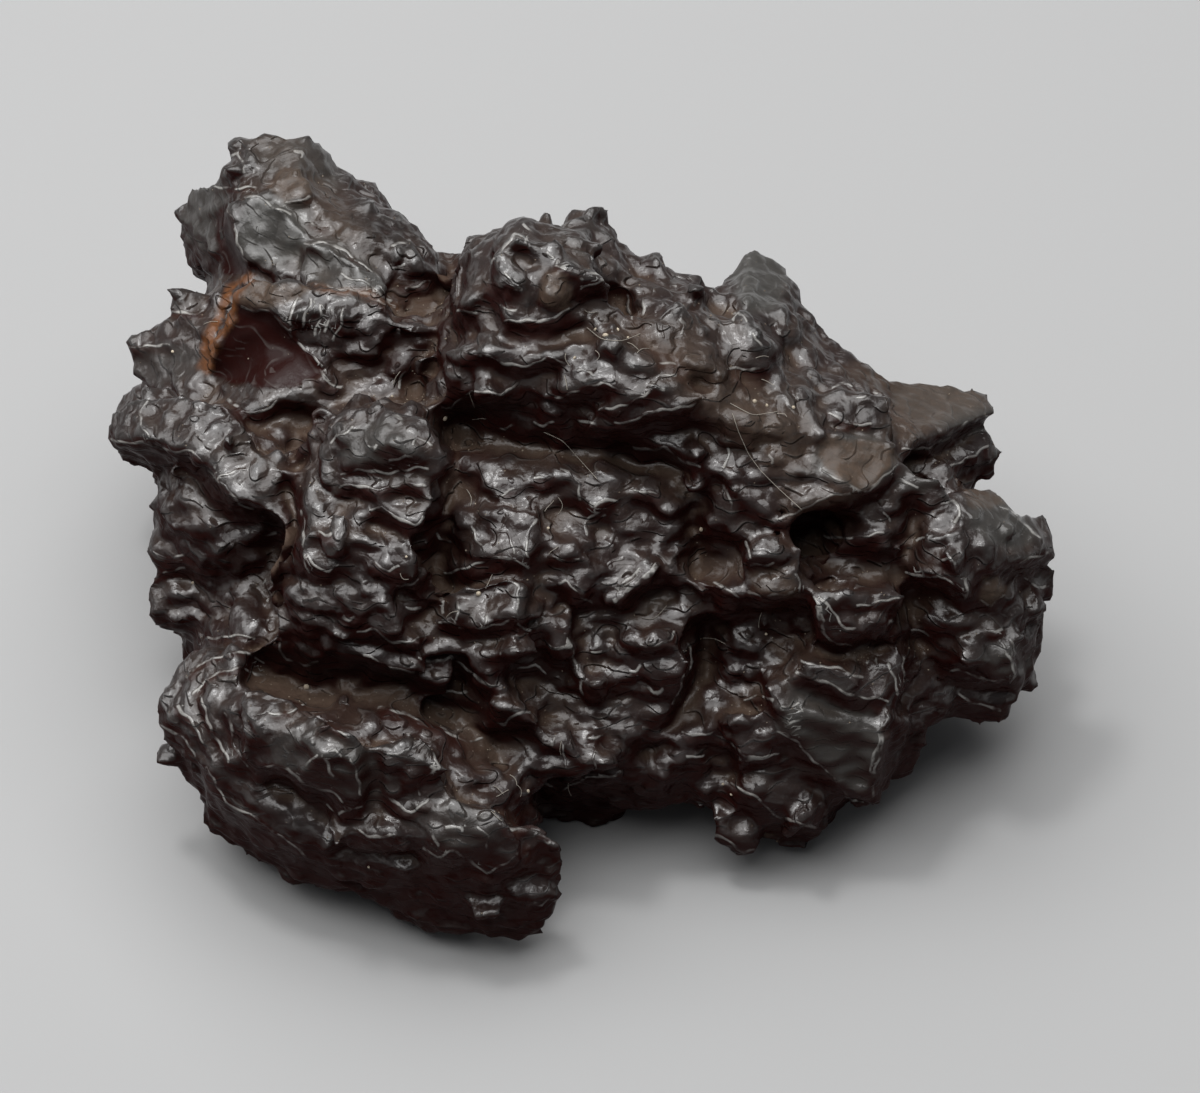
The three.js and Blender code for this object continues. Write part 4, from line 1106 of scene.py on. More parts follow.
LOWER_RIGHT = (
    Ledge(((-2.2, -10.5), (-1.5, -10.5), (-1, -9.9)), 0.5, 0.9, 0.5),
    Ledge(((-2.2, -12), (-1, -12.8), (-0.3, -12.5), (0.5, -12), (1.2, -12), (2.2, -11.6)), 1.0, 1.4, 0.9),
    Ledge(((4.8, -9.9), (5.8, -9.9), (6.8, -9.7)), 0.5, 0.6, 0.6),
    Ledge(((4.8, -10.9), (5.6, -11), (6.4, -10.9)), 0.5, 0.4, 0.7),
    Ledge(((7.2, -10.2), (8, -10.9), (9, -11), (9.9, -10.9)), 0.6, 0.9, 0.5),
    Ledge(((7.1, -12.1), (8.2, -12.9), (9.2, -13.6), (10.3, -14.3), (11.8, -14.6)), 1.0, 1.6, 1.0),
    Ledge(((6.2, -14.8), (7.4, -15.4), (8, -15.7), (8.9, -15.4)), 0.6, 0.9, 0.5),
    Ledge(
        ((9.4, -9.6), (10.6, -10.3), (11.4, -11.2), (12.4, -12.2), (13.4, -13.2), (14.3, -13.5)),
        0.8, 1.2, 0.8,
    ),
    Ledge(((14.2, -13.4), (14.5, -12), (14.7, -10.6), (14.8, -9.1)), 0.6, 0.8, 0.5),
    Ledge(((-1.2, -15.1), (-1.6, -15.3), (-2.2, -15)), 0.2, 0.5, 0.3),
    Ledge(((7.8, -8.3), (8.8, -8.1), (9.6, -8.3)), 0.5, 0.9, 0.5),
    Ledge(((0.2, -9.9), (0.9, -10.1), (1.4, -9.8)), 0.4, 0.6, 0.4),
    Ridge(((-0.9, -10.1), (-0.9, -11.2), (-0.6, -11.7)), 0.3, 0.5),
    Ridge(((0.9, -10.6), (0.6, -11.3), (0.7, -12)), 0.25, 0.5),
    Ridge(((7.75, -13.9), (7.8, -15.1)), -0.4, 0.4),
    Ridge(((7.6, -11.1), (8.5, -11.1), (9.6, -11)), 0.25, 0.5),
    Ridge(((8.2, -11.5), (9.2, -12.1), (10.2, -12.5)), -0.3, 0.6),
    Ridge(((9.5, -8.6), (10.9, -8.3)), 0.25, 0.35),
    Ridge(((9.6, -9.1), (11.1, -8.7)), 0.25, 0.35),
    Ridge(((9.8, -9.6), (11.1, -9.1)), 0.25, 0.35),
    Ridge(((10.2, -10), (11, -9.6)), 0.25, 0.35),
    Ridge(((12, -9.9), (13.1, -9.5)), -0.2, 0.3),
    Ridge(((9.6, -8.2), (11.8, -8.6), (14.2, -8.8)), -0.4, 0.5),
    Ridge(((8.8, -6.9), (8.4, -7.9)), -0.35, 0.4),
    Ridge(((14.7, -9.6), (14.3, -11.2), (14.4, -12.2)), 0.25, 0.4),
    Knob(Spot(1.9, -9.8, 0.9, 0.7, 0, 0.4)),
    Knob(Spot(8.3, -14.9, 1.2, 1.5, 0, 0.4)),
    Knob(Spot(1.3, -11.3, 1.5, 1.3, 0, 0.4)),
    Knob(Spot(11.2, -14.4, 1.4, 0.8, -20, 0.3)),
)

VALLEYS = (
    Gap(((-6.3, 14), (-6.6, 12), (-7, 9.5), (-7.4, 8), (-8.9, 6.7)), -1.0, 1.5),
    Gap(((-13, 6.4), (-14, 3.6), (-14.5, -0.1), (-15.1, -4.3)), -0.9, 1.4),
    Gap(((-7.2, 6.8), (-6.1, 5), (-6, 3), (-6.6, 0), (-7.1, -4.3)), -0.8, 1.2),
    Gap(((-16.5, -6.3), (-13.3, -7.4), (-9.9, -7.9), (-6.2, -9), (-3.1, -11.6)), -1.1, 1.8),
    Gap(((-6.4, 6), (-5.2, 4.6), (-1.5, 4), (2.1, 3.6), (5.8, 2.6)), -1.0, 1.5),
    Gap(((1.6, 12.4), (3.2, 9.3), (5, 7.8), (6.6, 7)), -0.8, 1.4),
    Gap(((6.8, 3), (5.6, 0.8), (5.6, -1.4), (6.4, -4.2), (6.3, -7.4), (4.6, -9.6), (3, -11.4)), -0.9, 1.3),
    Gap(((16.7, 1.6), (15.7, -0.9), (16.3, -3.9), (16.8, -6.2)), -0.8, 1.2),
    Gap(((8.8, -5.6), (10.4, -5), (12.4, -6.4), (15.6, -5.3)), -0.7, 1.1),
    Gap(((6.2, -10.6), (7, -11.5), (8.6, -12.4)), -0.5, 1.0),
)

FEATURES = (*LEFT_FOOT, *MIDDLE, *LEFT_SIDE, *CROWN, *BACK_LEFT, *RIGHT_SIDE, *LOWER_RIGHT, *VALLEYS)


@dataclass
class StoneBody:
    """The stone itself.

    A span is where a smooth step starts and ends.
    A noise is its waves to the millimetre, its finer layers and how far it is twisted. The wrinkles' noise
    has no waves of its own, as those come from their width.
    A stir is a noise's waves to the millimetre and how far it shifts a position.
    """

    merge_reach: float = 0.0005
    crystal_count_per_mm2: float = 0.045
    crystal_low: float = 0.45
    crystal_high: float = 1.2
    crystal_front: float = 0.4
    crystal_front_share: float = 0.3
    crystal_sides: int = 4
    crystal_top: float = 0.6
    crystal_sunk: float = 1.15
    crystal_tilt: Triple = (0.35, 0.35, 0.5)
    voxel: float = 0.215
    gap_reach: float = 1.2
    gap_inset: float = 0.15
    gap_voxel: float = 0.3
    round_off: int = 4
    ledge_rise: float = 1.4
    ledge_depth: float = 0.4
    terrace_width: float = 3.2
    terrace_height: float = 0.1
    knob_width: float = 1.5
    knob_height: float = 0.26
    facet_width: float = 1.1
    facet_tilt: float = 0.22
    wrinkle_width: float = 0.8
    wrinkle_height: float = 0.06
    knob_stir: Pair = (0.4, 2.4)
    knob_softness: float = 0.35
    knob_span: Pair = (0.75, 0.12)
    facet_stir: Pair = (0.8, 0.9)
    ledge_noise: Pair = (0.2, 2.0)
    ledge_sway: float = 6.0
    broken_noise: Pair = (0.45, 1.0)
    broken_span: Pair = (0.42, 0.6)
    terrace_steps: float = 9.0
    terrace_rise: Pair = (0.0, 0.3)
    terrace_fall: Pair = (1.0, 0.4)
    wrinkle_noise: Pair = (1.5, 0.8)
    wrinkle_reach: float = 0.16
    calm_keeps: float = 0.75
    calm_share: float = 0.85
    calm_rounds: int = 4
    squash: Triple = (1.0, 1.0, 1.9)
    lower: float = 0.2
    push_rounds: int = 6
    settle: int = 1
    carve: float = 1.3
    worked_calm: float = 0.6
    worked_height: float = 0.2
    front_from: float = 0.1
    front_run: float = 0.35
    share_rounds: int = 3
    toward_viewer: float = 0.65
    mark_floor: float = 0.02
    away_from: float = 0.05
    triangle_limit: int = 196_000
    hollow_rounds: int = 60
    hollow_span: Pair = (-0.05, 0.55)
    ridge_rounds: int = 8
    ridge_span: Pair = (0.0, 0.14)
    ray_start: float = 0.05
    ray_turns: int = 3
    ray_lifts: Pair = (0.35, 0.8)
    ray_length: float = 8.0
    seed: int = 11
    calm_spots: tuple[Spot, ...] = field(
        default=(
            Spot(-15.3, 15, 3.6, 3.6, 0, 0.95),
            Spot(-12, 13, 5, 2.6, -30, 0.7),
            Spot(-18.8, 16.2, 2.4, 5, 0, 0.6),
            Spot(-14, 18.4, 4.4, 2.6, -20, 0.5),
            Spot(-9.8, 4.2, 3.8, 2.6, 0, 0.5),
            Spot(-20.6, 8.4, 3.6, 2, 0, 0.45),
            Spot(-12.2, -11.4, 6.5, 2.8, -22, 0.4),
            Spot(-6.4, -14.2, 5, 2.4, -20, 0.35),
            Spot(13.4, 3.5, 4, 2.8, 0, 0.9),
            Spot(18, 6.2, 5.4, 2.2, -10, 0.8),
            Spot(20.6, 0.6, 3.6, 2.4, -30, 0.8),
            Spot(21, -6.5, 2.6, 2.4, 0, 0.6),
            Spot(22.4, -1.9, 2, 1.3, 0, 0.5),
            Spot(16.4, 2.6, 2.2, 1.2, 0, 0.5),
            Spot(12.4, -10, 6.4, 4.4, -50, 0.75),
            Spot(8.8, 12.6, 2.8, 3.6, 0, 0.85),
        )
    )

    def grown(self, solid: bpy.types.Object) -> bpy.types.Object:
        """Grows small crystals on a copy of the solid and joins all in one skin.

        Args:
            solid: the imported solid, in metres.

        Returns:
            The skin, in millimetres.
        """
        mesh = solid.data.copy()
        mesh.transform(Matrix.Scale(1 / MM, 4))
        shell = bmesh.new()
        shell.from_mesh(mesh)
        bmesh.ops.remove_doubles(shell, verts=shell.verts, dist=self.merge_reach)
        shell.to_mesh(mesh)
        shell.free()
        filling = self.filled(mesh)
        work = new_piece("stone_growing", mesh)
        tree = GeometryTree("small_crystals")
        density = tree.knob("Crystals per square mm", self.crystal_count_per_mm2)
        low = tree.knob("Smallest", self.crystal_low)
        high = tree.knob("Largest", self.crystal_high)
        seed = tree.knob("Seed", self.seed, "NodeSocketInt")
        points = tree.add("GeometryNodeDistributePointsOnFaces", distribute_method="RANDOM")
        tree.feed(points.inputs["Mesh"], tree.geometry)
        front = tree.vector("DOT_PRODUCT", tree.add("GeometryNodeInputNormal").outputs[0], tuple(TO_VIEWER))
        fewer = tree.ramp(front, 0.0, self.crystal_front, 1.0, self.crystal_front_share)
        tree.feed(points.inputs["Density"], tree.product(density, fewer))
        tree.feed(points.inputs["Seed"], seed)
        block = tree.add("GeometryNodeMeshCone", fill_type="NGON")
        block.inputs["Vertices"].default_value = self.crystal_sides
        block.inputs["Side Segments"].default_value = 1
        block.inputs["Radius Top"].default_value = self.crystal_top
        block.inputs["Radius Bottom"].default_value = 1.0
        block.inputs["Depth"].default_value = 2.0
        sunk = tree.add("GeometryNodeTransform")
        tree.feed(sunk.inputs["Geometry"], block.outputs["Mesh"])
        sunk.inputs["Translation"].default_value = (0, 0, -self.crystal_sunk)
        sizes = tree.random_vector(low, high, seed)
        tilt = Vector(self.crystal_tilt)
        turned = tree.add("FunctionNodeRotateRotation", rotation_space="LOCAL")
        tree.feed(turned.inputs[0], points.outputs["Rotation"])
        tree.feed(turned.inputs[1], tree.random_vector(-tilt, tilt, 0))
        placed = tree.add("GeometryNodeInstanceOnPoints")
        tree.feed(placed.inputs["Points"], points.outputs["Points"])
        tree.feed(placed.inputs["Instance"], sunk.outputs[0])
        tree.feed(placed.inputs["Rotation"], turned.outputs[0])
        tree.feed(placed.inputs["Scale"], sizes)
        joined = tree.add("GeometryNodeJoinGeometry")
        tree.feed(joined.inputs[0], tree.geometry)
        tree.feed(joined.inputs[0], placed.outputs[0])
        tree.finish(joined.outputs[0], None)
        tree.put_on(work)
        skin = baked(work, "stone_skin")
        shell = bmesh.new()
        shell.from_mesh(skin.data)
        shell.from_mesh(filling.data)
        shell.to_mesh(skin.data)
        shell.free()
        bpy.data.objects.remove(filling)
        self.remeshed(skin, self.voxel)
        return baked(skin, "stone_skin")

    def remeshed(self, piece: bpy.types.Object, voxel: float) -> None:
        """Joins all that a piece is made of in one skin.

        Args:
            piece: the piece.
            voxel: how fine the skin is.
        """
        skin = piece.modifiers.new("one_skin", "REMESH")
        skin.mode = "VOXEL"
        skin.voxel_size = voxel
        skin.adaptivity = 0.0

    def filled(self, mesh: bpy.types.Mesh) -> bpy.types.Object:
        """Makes a body that fills narrow gaps: the solid swollen, joined and shrunk again.

        Args:
            mesh: the solid, in millimetres.

        Returns:
            The body, a little inside the solid.
        """
        work = new_piece("stone_filling", mesh.copy())
        for push in (self.gap_reach, -self.gap_reach - self.gap_inset):
            self.remeshed(work, self.gap_voxel)
            swell = work.modifiers.new("swell", "DISPLACE")
            swell.strength = push
            swell.mid_level = 0.0
        return baked(work, "stone_filling")

    def carved(self, skin: bpy.types.Object, solid: bpy.types.Mesh) -> None:
        """Raises the ledges, crests and knobs that have places of their own, and notes where relief is calm.

        Args:
            skin: the skin, in millimetres.
            solid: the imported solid, in metres.
        """
        points = corners_of(skin.data)
        seen = swayed(as_seen(points) - middle_of_view(solid))
        normals = corners_of(skin.data, "normal")
        height = np.zeros(len(points))
        worked = np.zeros(len(points))
        for feature in FEATURES:
            added = feature.height(seen)
            height += added
            if not isinstance(feature, Gap):
                worked = np.maximum(worked, np.minimum(np.abs(added) / self.worked_height, 1))
        calm = self.worked_calm * worked
        for area in (*self.calm_spots, *FLAT):
            calm = np.maximum(calm, area.share(seen))
        facing = normals @ np.array(TO_VIEWER)
        share = np.clip((facing - self.front_from) / self.front_run, 0, 1)
        touched = (share > 0) & ((height != 0) | (calm > 0))
        share = self.averaged(skin, share * self.in_sight(points, touched, solid), self.share_rounds)
        height = self.averaged(skin, height * share, 1)
        push = self.toward_viewer * np.array(TO_VIEWER) + (1 - self.toward_viewer) * normals
        moved = points + push * (self.carve * height)[:, None]
        skin.data.vertices.foreach_set("co", moved.astype(np.float32).ravel())
        keep(skin.data, Mark.CALM.value, calm * share)

    def averaged(self, piece: bpy.types.Object, values: np.ndarray, rounds: int) -> np.ndarray:
        """Averages numbers over neighbouring points.

        Args:
            piece: the piece.
            values: a number for each point.
            rounds: how many times.

        Returns:
            The averaged numbers.
        """
        edges = np.zeros(len(piece.data.edges) * 2, np.int32)
        piece.data.edges.foreach_get("vertices", edges)
        first, second = edges.reshape(-1, 2).T
        size = len(values)
        count = np.maximum(np.bincount(edges, minlength=size), 1)
        for _ in range(rounds):
            total = np.bincount(first, values[second], size) + np.bincount(second, values[first], size)
            values = 0.5 * values + 0.5 * total / count
        return values

    def in_sight(self, points: np.ndarray, asked: np.ndarray, solid: bpy.types.Mesh) -> np.ndarray:
        """Which points are seen from the front.

        Args:
            points: the points.
            asked: which of them are looked at.
            solid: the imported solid, in metres.

        Returns:
            1 in sight, 0 behind something or not asked for.
        """
        tree = tree_of(solid)
        clear = np.zeros(len(points))
        for index in np.flatnonzero(asked):
            start = Vector(points[index]) + self.crystal_high * TO_VIEWER
            clear[index] = tree.ray_cast(start, TO_VIEWER)[0] is None
        return clear

    def marked(self, piece: bpy.types.Object, solid: bpy.types.Mesh) -> None:
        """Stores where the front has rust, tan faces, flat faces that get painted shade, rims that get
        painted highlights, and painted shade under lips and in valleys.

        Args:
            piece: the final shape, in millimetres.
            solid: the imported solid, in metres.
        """
        points = corners_of(piece.data)
        seen = swayed(as_seen(points) - middle_of_view(solid))
        facing = corners_of(piece.data, "normal") @ np.array(TO_VIEWER)
        lines = [feature for feature in FEATURES if isinstance(feature, Line) and feature.rise > 0]
        gaps, fades = (np.array(values) for values in zip(*(line.offsets(seen) for line in lines)))
        nearest = np.abs(gaps).argmin(axis=0)
        lip = gaps[nearest, np.arange(len(points))]
        keep(piece.data, Mark.LIP.value, np.clip(lip, -1, 1))
        fade = fades[nearest, np.arange(len(points))]
        marks = {
            Mark.SHINE: [fade * np.exp(-((lip / RIM_WIDTH) ** 2))],
            Mark.RUST: [patch.share(seen) for patch in RUST],
            Mark.TAN: [patch.share(seen) for patch in TAN],
            Mark.FLAT: [patch.share(seen) for patch in FLAT],
            Mark.CALM_FACE: [spot.share(seen) for spot in self.calm_spots],
            Mark.SHADE: [line.shade(seen) for line in (*lines, *VALLEYS)],
        }
        shares = {mark: np.max(values, axis=0) for mark, values in marks.items()}
        asked = (facing > 0) & (np.max(list(shares.values()), axis=0) > self.mark_floor)
        sight = self.in_sight(points, asked, solid)
        for mark, values in shares.items():
            keep(piece.data, mark.value, values * sight)

    def raised(self, skin: bpy.types.Object) -> bpy.types.Object:
        """Raises ledges, knobs, ridges and wrinkles.

        Args:
            skin: the skin, in millimetres.

        Returns:
            The skin with its relief.
        """
        tree = GeometryTree("relief")
        rise = tree.knob("Ledge rise", self.ledge_rise)
        depth = tree.knob("Ledge depth", self.ledge_depth)
        knob_height = tree.knob("Knob height", self.knob_height)
        terrace_height = tree.knob("Terrace height", self.terrace_height)
        wrinkle_height = tree.knob("Wrinkle height", self.wrinkle_height)
        calm = tree.named(Mark.CALM.value)
        soft = tree.smoothed(tree.geometry, self.round_off, tree.without(calm, self.calm_keeps))
        place = tree.add("GeometryNodeInputPosition").outputs[0]
        normal = tree.add("GeometryNodeInputNormal").outputs[0]
        calm_place = tree.blurred(place, self.calm_rounds)
        flat = tree.vector("MULTIPLY", calm_place, self.squash)
        bent = tree.stirred(flat, calm_place, *self.knob_stir)
        cell = tree.cells(bent, 1 / self.knob_width, self.knob_softness)
        knobs = tree.product(tree.ramp(cell, *self.knob_span), knob_height)
        stirred = tree.stirred(flat, calm_place, *self.facet_stir)
        facets = tree.facets(stirred, 1 / self.facet_width, self.facet_tilt)
        sway = tree.product(tree.noise(calm_place, *self.ledge_noise), self.ledge_sway)
        lip, _ = tree.steps(tree.total(tree.math("DIVIDE", tree.part(place), rise), sway))
        broken = tree.ramp(tree.noise(calm_place, *self.broken_noise), *self.broken_span)
        ledges = tree.product(lip, broken, depth)
        field_height = tree.noise(calm_place, 1 / self.terrace_width, 2.0)
        edge = tree.math("FRACT", tree.product(field_height, self.terrace_steps))
        banks = tree.product(tree.ramp(edge, *self.terrace_rise), tree.ramp(edge, *self.terrace_fall))
        terraces = tree.product(banks, terrace_height)
        wrinkle = tree.noise(flat, 1 / self.wrinkle_width, *self.wrinkle_noise)
        fold = tree.math("ABSOLUTE", tree.math("SUBTRACT", wrinkle, 0.5))
        wrinkles = tree.product(tree.ramp(fold, self.wrinkle_reach, 0.0), wrinkle_height)
        height = tree.total(ledges, tree.total(knobs, facets), terraces, wrinkles)
        height = tree.product(height, tree.without(calm, self.calm_share))
        lowered = tree.math("SUBTRACT", height, self.lower)
        push = tree.vector("SCALE", tree.blurred(normal, self.push_rounds), lowered)
        moved = tree.smoothed(tree.move(soft, push), self.settle)
        tree.finish(moved, None)
        tree.put_on(skin)
        return baked(skin, "stone_relief")

    def thinned(self, relief: bpy.types.Object) -> bpy.types.Object:
        """Brings the mesh under its limit and drops closed pockets inside it.

        Args:
            relief: the skin with its relief.

        Returns:
            The thinned mesh.
        """
        triangles = sum(len(face.vertices) - 2 for face in relief.data.polygons)
        if triangles > self.triangle_limit:
            thin = relief.modifiers.new("thin", "DECIMATE")
            thin.ratio = self.triangle_limit / triangles
            facing = corners_of(relief.data, "normal") @ np.array(TO_VIEWER)
            group = relief.vertex_groups.new(name="away")
            group.add(np.flatnonzero(facing < self.away_from).tolist(), 1.0, "REPLACE")
            thin.vertex_group = group.name
            thin.vertex_group_factor = 1.0
        thinned = baked(relief, "stone_thinned")
        shell = bmesh.new()
        shell.from_mesh(thinned.data)
        left = set(shell.verts)
        keep: set[bmesh.types.BMVert] = set()
        while left:
            start = left.pop()
            body = {start}
            edge_of_body = [start]
            while edge_of_body:
                for edge in edge_of_body.pop().link_edges:
                    for vert in edge.verts:
                        if vert not in body:
                            body.add(vert)
                            edge_of_body.append(vert)
            left -= body
            if len(body) > len(keep):
                keep = body
        loose = [vert for vert in shell.verts if vert not in keep]
        bmesh.ops.delete(shell, geom=loose, context="VERTS")
        bmesh.ops.recalc_face_normals(shell, faces=shell.faces)
        if shell.calc_volume(signed=True) < 0:
            bmesh.ops.reverse_faces(shell, faces=shell.faces)
        shell.to_mesh(thinned.data)
        shell.free()
        LOG.info("stone mesh: %d triangles before thinning, %d loose points", triangles, len(loose))
        return thinned

    def surveyed(self, thinned: bpy.types.Object, material: bpy.types.Material) -> bpy.types.Object:
        """Keeps with each point how hollow, sharp and open to the sky it is.

        Args:
            thinned: the final shape.
            material: the stone's finish.

        Returns:
            The mesh that carries those numbers.
        """
        tree = GeometryTree("survey")
        place = tree.add("GeometryNodeInputPosition").outputs[0]
        normal = tree.add("GeometryNodeInputNormal").outputs[0]
        wide = tree.vector("SUBTRACT", tree.blurred(place, self.hollow_rounds), place)
        hollow = tree.ramp(tree.vector("DOT_PRODUCT", wide, normal), *self.hollow_span)
        close = tree.vector("SUBTRACT", place, tree.blurred(place, self.ridge_rounds))
        ridge = tree.ramp(tree.vector("DOT_PRODUCT", close, normal), *self.ridge_span)
        start = tree.vector("ADD", place, tree.vector("SCALE", normal, self.ray_start))
        hits = []
        for turn in range(self.ray_turns):
            for lift in self.ray_lifts:
                angle = 2 * math.pi * (turn + lift) / self.ray_turns
                flat = math.cos(lift)
                toward = (math.cos(angle) * flat, math.sin(angle) * flat, math.sin(lift))
                ray = tree.add("GeometryNodeRaycast", data_type="FLOAT")
                tree.feed(ray.inputs["Target Geometry"], tree.geometry)
                tree.feed(ray.inputs["Source Position"], start)
                tree.feed(ray.inputs["Ray Direction"], toward)
                tree.feed(ray.inputs["Ray Length"], self.ray_length)
                hits.append(ray.outputs["Is Hit"])
        shut = tree.math("DIVIDE", tree.total(*hits), float(len(hits)))
        stored = tree.geometry
        for mark, value in ((Mark.HOLLOW, hollow), (Mark.RIDGE, ridge), (Mark.SHUT, shut)):
            stored = tree.store(stored, mark.value, value)
        tree.finish(stored, material)
        tree.put_on(thinned)
        return baked(thinned, "prophecy_stone")

    def build(self, solid: bpy.types.Object, material: bpy.types.Material) -> bpy.types.Object:
        """Makes the stone's final mesh.

        Args:
            solid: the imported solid.
            material: the stone's finish.

        Returns:
            The finished piece, in metres.
        """
        skin = self.grown(solid)
        LOG.info("skin: %d points", len(skin.data.vertices))
        self.carved(skin, solid.data)
        shape = self.thinned(self.raised(skin))
        self.marked(shape, solid.data)
        stone = self.surveyed(shape, material)
        points = corners_of(stone.data)
        points[:, 2] = np.maximum(points[:, 2], 0)
        stone.data.vertices.foreach_set("co", points.astype(np.float32).ravel())
        for face in stone.data.polygons:
            face.use_smooth = True
        stone.data.transform(Matrix.Scale(MM, 4))
        return stone


GRAINS = (
    (1.2, 9.6, 0.34), (0.7, 9.9, 0.2), (1.8, 9.9, 0.22), (2.3, 9.5, 0.16), (-6.7, 5.6, 0.26),
    (-9.3, 6.7, 0.2), (-13.5, -7.6, 0.3), (-5, -3, 0.26), (5.9, 0.15, 0.24), (-0.3, 8.5, 0.2),
    (-20.3, 9, 0.2), (-1.6, 0.2, 0.16),
    (9.1, -5, 0.16), (-10.4, -16.4, 0.16), (-2.6, -12.7, 0.18), (7, -12.4, 0.18), (7.4, -12.9, 0.16),
    (-8.5, -1.2, 0.16), (-19.2, -2.5, 0.18), (8.5, 6.4, 0.22), (9.1, 6.2, 0.18), (10.4, 6.1, 0.2),
)
HAIRS = (
    ((7.4, 5.8), (7.7, 4.9), (8.2, 3.8), (8.8, 3), (9.6, 2.2), (10.8, 1.1)),
    ((-1.8, 4.9), (-0.9, 4.5), (0, 3.5), (0.8, 2.6)),
    ((6, -5.2), (6.6, -5.2), (7.1, -5.5)),
    ((3, -4.2), (3.6, -4.3), (4.2, -3.6)),
    ((-5.6, 2.1), (-5.3, 1.7), (-5.4, 1.3)),
    ((-1.1, 1.7), (-0.8, 1.3), (-1.1, 0.9)),
    ((0.3, 10), (1, 9.4), (2, 9.3), (2.9, 9.7)),
    ((7.3, 6.3), (8.4, 5.7), (9.6, 5.9)),
)


def new_finish(name: str) -> tuple[bpy.types.Material, Graph, bpy.types.Node]:
    """Starts a material.

    Args:
        name: its name.

    Returns:
        The material, its graph and its shader.
    """
    made = bpy.data.materials.new(name)
    made.use_nodes = True
    return made, Graph(made.node_tree), made.node_tree.nodes["Principled BSDF"]


